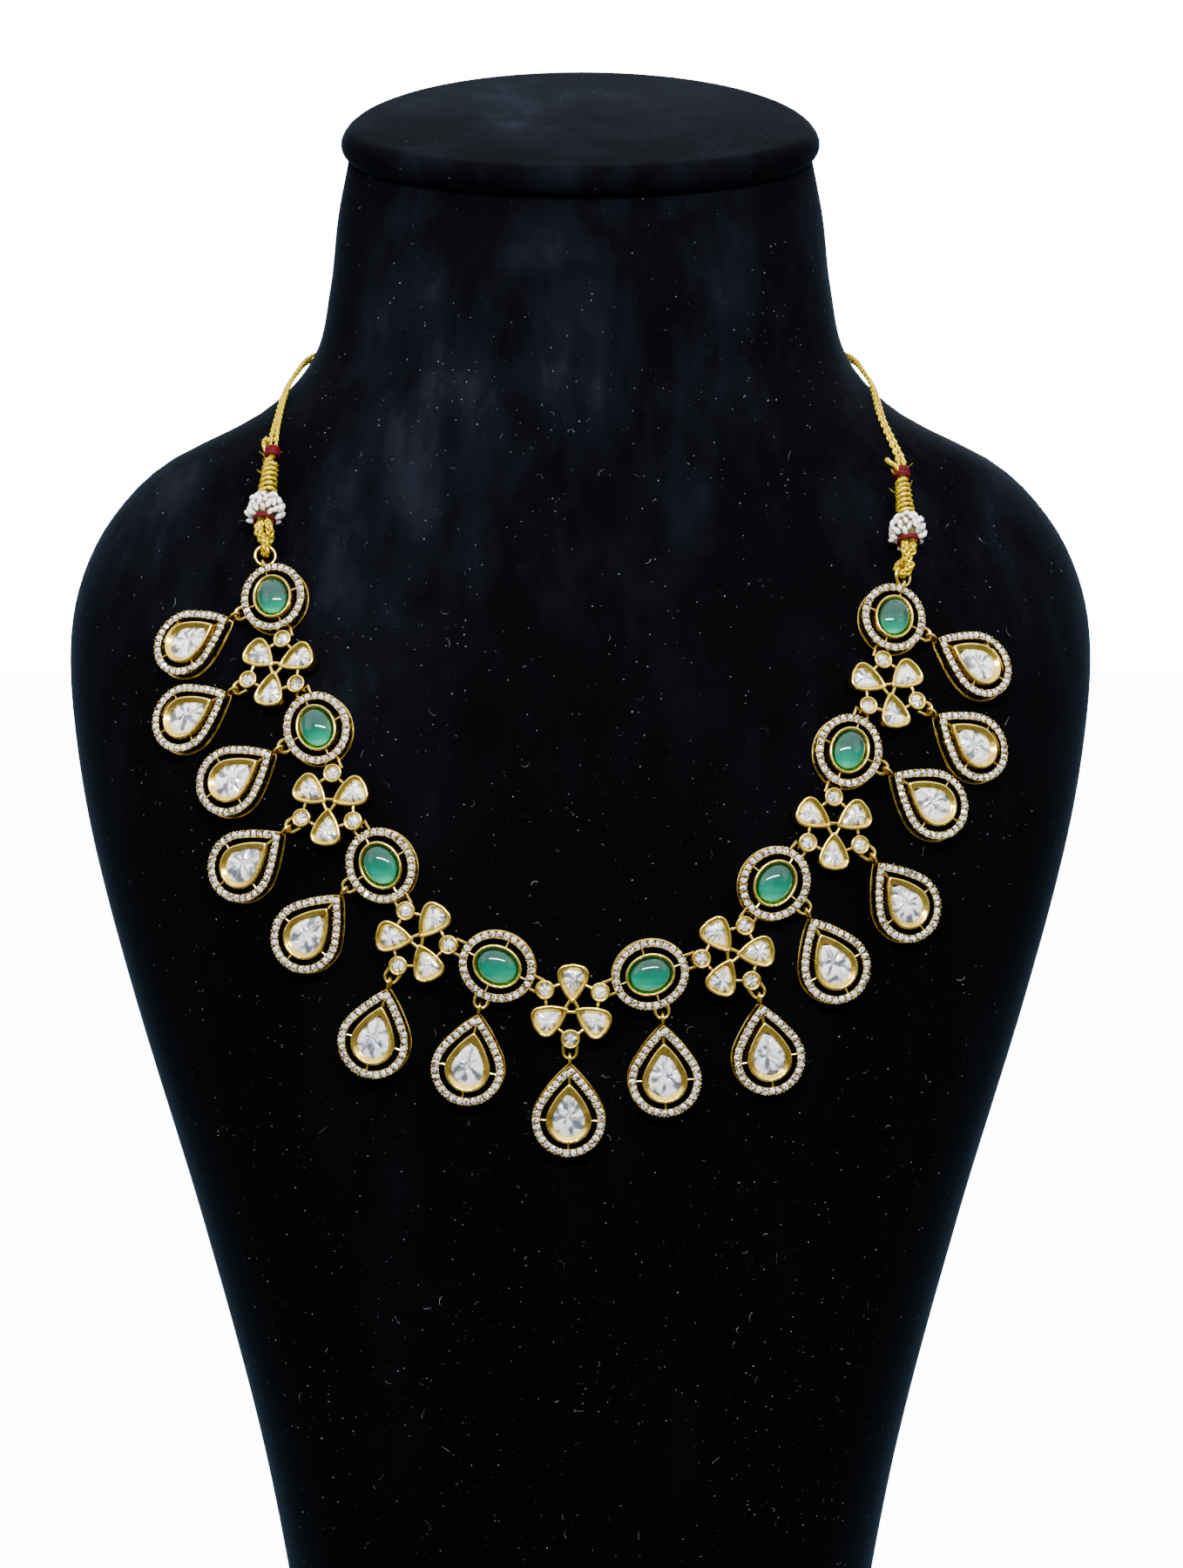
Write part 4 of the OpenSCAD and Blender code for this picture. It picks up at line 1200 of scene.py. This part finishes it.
# %% [markdown]
# Yarn follows a path. A ring of points is carried along it, kept square to the way, and its map runs
# along the yarn so that the fibres follow it. Twisting several yarns about one path makes a cord, and
# winding them both ways, over one and under the next, makes a round braid.

# %% Yarn, twist and braid
def way_at(path, i):
    return (path[min(len(path) - 1, i + 1)] - path[max(0, i - 1)]).normalized()


def circling(p, u, v, out, a):
    return p + out * (math.cos(a) * u + math.sin(a) * v)


def frames_along(path, aim):
    """Each point with two directions square to the path. aim gives the way that is taken as up."""
    frames = []
    for i, p in enumerate(path):
        e = way_at(path, i)
        u = square_to(aim(p), e)
        frames.append((p, u, e.cross(u)))
    return frames


def add_yarn(bm, path, radius, sides=6, taper=0):
    """A tube along a path. taper is how many points its ends take to close to a round tip."""
    loops, u = [], way_at(path, 0).orthogonal()
    for i, p in enumerate(path):
        e = way_at(path, i)
        u = square_to(u, e)
        near = min(i, len(path) - 1 - i)
        r = radius * (math.sin(math.pi / 2 * (near + 0.35) / (taper + 0.35)) if near < taper else 1)
        loops.append([circling(p, u, e.cross(u), r, 2 * math.pi * j / sides) for j in range(sides)])
    part = bmesh.new()
    loft(part, loops)
    fibres = part.loops.layers.uv.new("fibres")
    index = {v: k for k, v in enumerate(part.verts)}
    walked = distances(path)
    for face in part.faces:
        for corner in face.loops:
            ring, j = divmod(index[corner.vert], sides)
            corner[fibres].uv = (j / sides, walked[ring] / MM)
    bmesh.ops.recalc_face_normals(part, faces=part.faces)
    mesh = baked("yarn", part)
    bm.from_mesh(mesh)
    bpy.data.meshes.remove(mesh)


def twisted(path, aim, plies, offset, pitch):
    """Paths of the plies of a cord that twists once in each pitch."""
    steps = list(zip(frames_along(path, aim), distances(path)))
    return [[circling(*at, offset, 2 * math.pi * (w / pitch + k / plies)) for at, w in steps]
            for k in range(plies)]


def plaited(path, aim, radii, each_way, pitch, middle, swing):
    """Plies that wind both ways round a path. Each goes over one that it meets and under the next."""
    steps = [(at, 2 * math.pi * w / pitch, r)
             for at, w, r in zip(frames_along(path, aim), distances(path), radii)]
    return [[circling(*at, r * (middle + way * swing * math.cos(each_way * t)),
                      way * t + 2 * math.pi * k / each_way) for at, t, r in steps]
            for way in (1, -1) for k in range(each_way)]


def yarn_piece(name, paths, radius, material, slot, nodes=(), sides=6, taper=2):
    bm = bmesh.new()
    bm.loops.layers.uv.new("fibres")
    for path in paths:
        add_yarn(bm, path, radius, sides, taper)
    mesh = baked(name, bm)
    mesh.shade_smooth()
    return show(name, mesh, material, slot, *nodes)


def core_piece(name, place, heights, radius, material, slot, sides=16, taper=1):
    """A plain round core along the X axis of a place. Its heights are in millimetres."""
    core = [place @ Vector((x * MM, 0, 0)) for x in heights]
    yarn_piece(name, [core], radius, material, slot, sides=sides, taper=taper)


print("yarn ready")

# %% [markdown]
# The neck cord is two strands, each braided from four plies of yellow metallic yarn. They lie against
# the bust, go round the back of the neck and through the slider. The necklace's own weight keeps them
# taut, and both ends go back into the necklace.

# %% Lay the neck cord
cord_r = cord_d / 2
for side, route in ROUTES.items():
    line = dense(route, 32)
    plies = plaited(line, from_neck, [cord_r] * len(line), 2, 4 * MM, 0.46, 0.17)
    strand = yarn_piece(f"cord_strand_{side}", plies, 0.36 * cord_r, gold_yarn, "gold_cord",
                        [f"neck_cord_{side}"], sides=5, taper=0)
    print(side, "strand", round(length_of(line) / MM, 1), "mm,", counts[strand.name], "triangles")

# %% [markdown]
# At each end a thick braid goes through the large ring and up into the ball of pearls. Its legs turn
# from one behind the other to side by side, and the red thread draws them together. The braid settles
# where the solid runs: down one side of the ring's wire, through the ring and back up.

# %% Braid through the end rings
end_ring_turn = math.radians(25)
ring_square = end_ring_turn + math.pi / 2
braid_r = 1 * MM
braid_half = 1.7 * MM
thread_gap = 0.15 * MM
braid_bend = end_ring_r - wire_r - braid_r - thread_gap + braid_half
bend_steps = 6
dense_steps = 9
# share of the way up, half distance of the legs (share of braid_half), radius (share of braid_r)
LEGS = [
    (0.00, 1.00, 1.00),
    (0.25, 0.90, 1.10),
    (0.50, 0.78, 1.15),
    (0.75, 0.66, 1.05),
    (1.00, 0.53, 0.82)]
SHARES, HALVES, RADII = zip(*LEGS)
DOWN = (1, 0.8, 0.6, 0.4, 0.2)
wrap_low = 3.1 * MM
wrap_l = 1 * MM
legs_met = wrap_low + 0.3 * MM
legs_end = wrap_low - wrap_l - 0.2 * MM


def beside(a):
    """A direction square to X."""
    return Vector((0, math.cos(a), math.sin(a)))


def leg_half(f):
    return braid_half * float(np.interp(f, SHARES, HALVES))


def leg_r(f):
    return braid_r * float(np.interp(f, SHARES, RADII))


def braid_leg(way, o, f):
    """A point of a leg, from the bend to the red thread, in the frame of the end ring."""
    start = Vector((braid_bend, 0, 0))
    end = Vector((ball_at, 0, 0)) - legs_met * way
    lead = (end - start).length / 3
    g = 1 - f
    middle = (g**3 * start + 3 * f * g * g * (start + lead * Vector((1, 0, 0)))
              + 3 * f * f * g * (end - lead * way) + f**3 * end)
    return middle + o * leg_half(f) * beside(ring_square * g)


def braid_path(way):
    """Points and radii: down one leg, round the ring's wire, and up the other."""
    top = Vector((ball_at, 0, 0)) - legs_end * way
    half = leg_half(1) * beside(0)
    across = braid_half * beside(ring_square)
    bend = [Vector((braid_bend - braid_half * math.sin(b), 0, 0)) - math.cos(b) * across
            for b in (math.pi * k / bend_steps for k in range(bend_steps + 1))]
    points = ([top - half] + [braid_leg(way, -1, f) for f in DOWN] + bend
              + [braid_leg(way, 1, f) for f in DOWN[::-1]] + [top + half])
    radii = [leg_r(f) for f in (1, *DOWN)]
    return points, radii + [braid_r] * len(bend) + radii[::-1]


for s, side in enumerate(SIDES):
    way = (ENDS[s].to_3x3().inverted() @ axis(BARRELS[s], 0)).normalized()
    points, radii = braid_path(way)
    path = dense([ENDS[s] @ p for p in points], dense_steps)
    thick = np.interp(np.arange(len(path)) / dense_steps, range(len(radii)), radii).tolist()
    aim = ENDS[s].to_3x3() @ beside(end_ring_turn)
    plies = plaited(path, lambda p: aim, thick, 3, 4.2 * MM, 0.58, 0.15)
    yarn_piece(f"braid_loop_{side}", plies, 0.3 * braid_r, gold_yarn, "gold_cord", [f"cord_loop_{side}"], 8)
print("braid loop", counts["braid_loop_left"], "triangles")

# %% [markdown]
# The red silk is wound in a few turns, once under the pearls and once above the barrel. The barrel
# is wound the same way with thick gold yarn, and it narrows towards the top.

# %% Windings
def winding(place, x_from, x_to, r_from, r_to, turns, unrest, steps=22):
    """A coil about the X axis of a place. unrest shifts each turn a little, as in winding by hand."""
    shifts = [random.uniform(-unrest, unrest) for _ in range(int(turns) + 3)]
    points = []
    for f in (k / (turns * steps) for k in range(int(turns * steps) + 1)):
        n, part = divmod(turns * f, 1)
        x = x_from + (x_to - x_from) * f + shifts[int(n)] * (1 - part) + shifts[int(n) + 1] * part
        r = r_from + (r_to - r_from) * f
        points.append(place @ (Vector((x, 0, 0)) + r * beside(2 * math.pi * turns * f)))
    return points


wrap_r = leg_half(1) + leg_r(1) + thread_gap + 0.3 * MM
barrel_low = 3.9 * MM
coil_r = 0.3 * MM
silk_r = 0.31 * MM
TIES = [BARRELS[s] @ move(ball_r + barrel_l) for s in (0, 1)]
for s, side in enumerate(SIDES):
    barrel, tie = BARRELS[s], TIES[s]
    around_axis = axis(barrel, 0)
    wrap = winding(barrel @ move(-wrap_low), 0.25 * MM, 0.8 * MM, wrap_r, wrap_r, 3.5, 0.06 * MM)
    yarn_piece(f"red_wrap_{side}", [wrap], 0.3 * MM, red_silk, "red_thread", [f"lower_wrap_{side}"])
    coil = winding(barrel, barrel_low + 0.5 * MM, ball_r + barrel_l - 0.6 * MM, 1.66 * MM, 1.12 * MM, 6.4,
                   0.1 * MM)
    yarn_piece(f"gold_barrel_{side}", twisted(coil, lambda p: around_axis, 2, 0.28 * MM, 1.2 * MM), coil_r,
               gold_yarn, "gold_thread", [f"barrel_{side}"])
    # the barrel's dark core is painted shade between the turns
    core_piece(f"barrel_core_{side}", barrel, (3.9, 6, 8, 10, 12, 13.4), 1.0 * MM, shaded_core_thread, "gold_thread")
    turns = [winding(tie, 0.3 * MM, tie_l - 0.35 * MM, 1.46 * MM, 1.42 * MM, 4.5, 0.12 * MM),
             winding(tie, tie_l - 0.6 * MM, 0.5 * MM, 1.58 * MM, 1.56 * MM, 3.5, 0.3 * MM)]
    yarn_piece(f"silk_tie_{side}", turns, silk_r, red_silk, "red_thread", [f"thread_tie_{side}"])
    core_piece(f"tie_core_{side}", tie, (0.1, 0.8, 1.8, 2.7), 1.2 * MM, gold_yarn, "gold_cord")
print("barrel", counts["gold_barrel_left"], "triangles")

# %% [markdown]
# Work by hand leaves ends. Over each tie a cut end of the cord sticks out to the left, short and
# thick, and a few loose metal fibres stand off. All of them are yarn again, along short bent lines.
# In the frame of a barrel X goes up along it, Y to the left and Z away from the velvet.

# %% Cut ends and loose fibres
# where each point lies from the foot of the tie, in millimetres
CUT_ENDS = [
    [(1.4, 0.9, 0.9), (2.8, 1.5, 1.0), (3.9, 1.6, 1.2), (4.3, 1.0, 1.6), (3.6, 0.5, 2.0)],
    [(1.4, 0.9, 0.9), (2.6, 1.9, 1.0), (3.0, 3.0, 1.1), (3.9, 3.9, 1.1)]]
wisp_count = 9
for s, side in enumerate(SIDES):
    tie = TIES[s]
    line = dense([tie @ (Vector(p) * MM) for p in CUT_ENDS[s]], 5)
    yarn_piece(f"cut_end_{side}", twisted(line, lambda p: axis(tie, 2), 3, 0.3 * MM, 2.4 * MM), 0.3 * MM,
               gold_yarn, "gold_cord", taper=1)
    wisps = []
    for _ in range(wisp_count):
        foot = Vector((random.uniform(-6, 2.6), 0, 0))
        out = beside(random.uniform(-0.6, 2.2))
        lean = Vector((random.uniform(0.4, 1.4), random.uniform(-0.8, 0.8), 0.1))
        wisps.append([tie @ ((foot + (1.6 + t) * out + t * t * 0.7 * lean) * MM) for t in (0, 0.4, 0.8, 1.2)])
    yarn_piece(f"loose_fibres_{side}", wisps, 0.045 * MM, gold_yarn, "gold_thread", sides=4, taper=1)
print("cut end", counts["cut_end_left"], "triangles")

# %% [markdown]
# The pearl balls are bunches of rice-shaped seed pearls. They start over the red thread, lie flat
# there like the rays of a crown, climb the side of the ball and turn in at the top. One pearl is a
# stretched ball. Each next one is turned on by the golden angle, so that no two stand in a column.

# %% Seed pearls
rice_l = 1 * MM
rice_r = 0.52 * MM
pearls_each = 48
golden_turn = math.pi * (3 - math.sqrt(5))
# height along the ball's axis, distance from it, degrees that a pearl there leans out from the axis
BALL_PROFILE = [(-2.2, 3.1, 88), (-1.2, 3.4, 52), (0.2, 3.55, 14), (1.6, 3.4, -18), (2.8, 2.6, -48),
                (3.5, 1.7, -66)]
UP, OUT, LEAN = zip(*BALL_PROFILE)
bm = bmesh.new()
bmesh.ops.create_uvsphere(bm, u_segments=12, v_segments=8, radius=1)
rice = baked("rice_pearl", bm, Matrix.Diagonal((rice_l, rice_r, rice_r, 1)) @ turn(90, "Y"))
for s, side in enumerate(SIDES):
    bm = bmesh.new()
    for k in range(pearls_each):
        x = UP[0] + (UP[-1] - UP[0]) * (k + 0.5) / pearls_each
        r = float(np.interp(x, UP, OUT)) + random.uniform(-0.3, 0.2)
        lean = float(np.interp(x, UP, LEAN)) + random.uniform(-12, 12)
        place = spun(golden_turn * k, "X") @ move(x * MM, r * MM) @ turn(lean)
        wobble = spun(random.uniform(-0.5, 0.5), "Y") @ Matrix.Scale(random.uniform(0.9, 1.12), 4)
        add_copy(bm, rice, BARRELS[s] @ place @ wobble)
    mesh = baked("pearls", bm)
    mesh.shade_smooth()
    show(f"seed_pearls_{side}", mesh, pearl, "seed_pearl", f"pearl_ball_{side}")
    # the dark core is painted shade in the gaps between the pearls
    core_piece(f"pearl_core_{side}", BARRELS[s], (-1.9, -1.2, 0, 1.2, 2.4, 3.4), 2.6 * MM, shaded_core_thread,
               "gold_cord", 20, 2)
print("pearls", counts["seed_pearls_left"], "triangles a ball")

# %% [markdown]
# The large end rings and the slider at the back are right as they are. They only need the metal.

# %% Finish the solids that stay
kept = ("end_ring_left", "end_ring_right", "cord_slider")
for name in kept:
    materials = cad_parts[name].data.materials
    materials.clear()
    materials.append(gold)
print("solids kept:", len(kept))

# %% [markdown]
# Velvet is never free of lint. Short curled fibres and specks lie all over the front. They are tiny,
# but without them the cloth looks like plastic.

# %% Lint
fibre_count = 120
fibre_points = 6
speck_count = 1800
fibre_rise = 0.12 * MM
speck_rise = 0.1 * MM


def on_velvet(x, z, rise):
    p = Vector((x, front_y(x, z), z))
    return p + rise * out_normal(p)


bm = bmesh.new()
bm.loops.layers.uv.new("fibres")
for _ in range(fibre_count):
    z = random.uniform(45, 275) * MM
    x = random.uniform(-0.8, 0.8) * row_at(z)[1]
    a, curl = random.uniform(0, 6.3), random.uniform(-1.8, 1.8)
    step = random.uniform(0.15, 0.5) * MM
    points = []
    for _ in range(fibre_points):
        points.append(on_velvet(x, z, fibre_rise))
        x += step * math.cos(a)
        z += step * math.sin(a)
        a += curl / 3
    add_yarn(bm, points, random.uniform(0.015, 0.025) * MM, 3)
part = bmesh.new()
bmesh.ops.create_uvsphere(part, u_segments=4, v_segments=2, radius=1)
speck = baked("speck", part)
for _ in range(speck_count):
    z = random.uniform(40, 300) * MM
    x = random.uniform(-0.85, 0.85) * row_at(z)[1]
    size = random.choice((0.04, 0.06, 0.07, 0.12)) * MM
    add_copy(bm, speck, Matrix.Translation(on_velvet(x, z, speck_rise)) @ Matrix.Scale(size, 4))
show_flat("lint", bm, Matrix(), lint_grey, "black_velvet")
print("lint", counts["lint"], "triangles")

# %% [markdown]
# The stage is a pale floor in a white room. What the camera sees of the room is plain white, but what
# lights the necklace is softer: bright overhead and darker towards the floor, so that polished metal
# has light and dark to mirror. One narrow strip of light in front draws the thin glint on every green
# dome, two panels at the sides pick out the rims, and one behind lights the back.

# %% Floor and light
bm = bmesh.new()
bmesh.ops.create_grid(bm, x_segments=1, y_segments=1, size=6)
floor = add_object("floor", baked("floor", bm))
floor_paint, shader = new_shader("floor_paint", Roughness=0.9, Emission_Strength=12,
                                 Emission_Color=(1, 1, 1, 1))
paint(shader, noise(shader, 3, 2), [(0.3, grey(0.86)), (0.7, grey(0.9))])
floor.data.materials.append(floor_paint)
floor.visible_glossy = False
floor.visible_diffuse = False
target = Vector((0, 0, 180 * MM))
# name, place, width and height in metres, power in watts
PANELS = [
    ("front_strip", (0, -0.47, 0.5), 0.5, 0.018, 8.5),
    ("left_panel", (-1.3, -0.7, 0.9), 0.9, 0.9, 3.5),
    ("right_panel", (1.3, -0.7, 0.9), 0.9, 0.9, 3.5),
    ("back_panel", (0.5, 1.3, 1.0), 0.9, 0.9, 7)]
for name, place, width, height, power in PANELS:
    light = bpy.data.lights.new(name, "AREA")
    light.shape = "RECTANGLE"
    light.size, light.size_y, light.energy = width, height, power
    lamp = add_object(name, light)
    lamp.location = place
    lamp.rotation_euler = (target - Vector(place)).to_track_quat("-Z", "Y").to_euler()
world = bpy.data.worlds.new("white_room")
world.use_nodes = True
room = world.node_tree.nodes["Background"]
room.inputs["Strength"].default_value = 3
upward = one_axis(room, add_node(room, "ShaderNodeTexCoord").outputs["Generated"], "Z")
rise = ramp(room, upward, [(0.0, grey(0.09)), (0.3, grey(0.17)), (0.85, grey(0.8))], "EASE")
join(room, rise, room.inputs["Color"])
seen = add_node(room, "ShaderNodeBackground", Color=(1, 1, 1, 1), Strength=16)
rays = add_node(room, "ShaderNodeLightPath")
mix = add_node(room, "ShaderNodeMixShader")
join(room, rays.outputs["Is Camera Ray"], mix.inputs["Fac"])
join(room, room.outputs["Background"], mix.inputs[1])
join(room, seen.outputs["Background"], mix.inputs[2])
join(room, mix.outputs["Shader"], world.node_tree.nodes["World Output"].inputs["Surface"])
bpy.context.scene.world = world
print("triangles in all", sum(counts.values()))
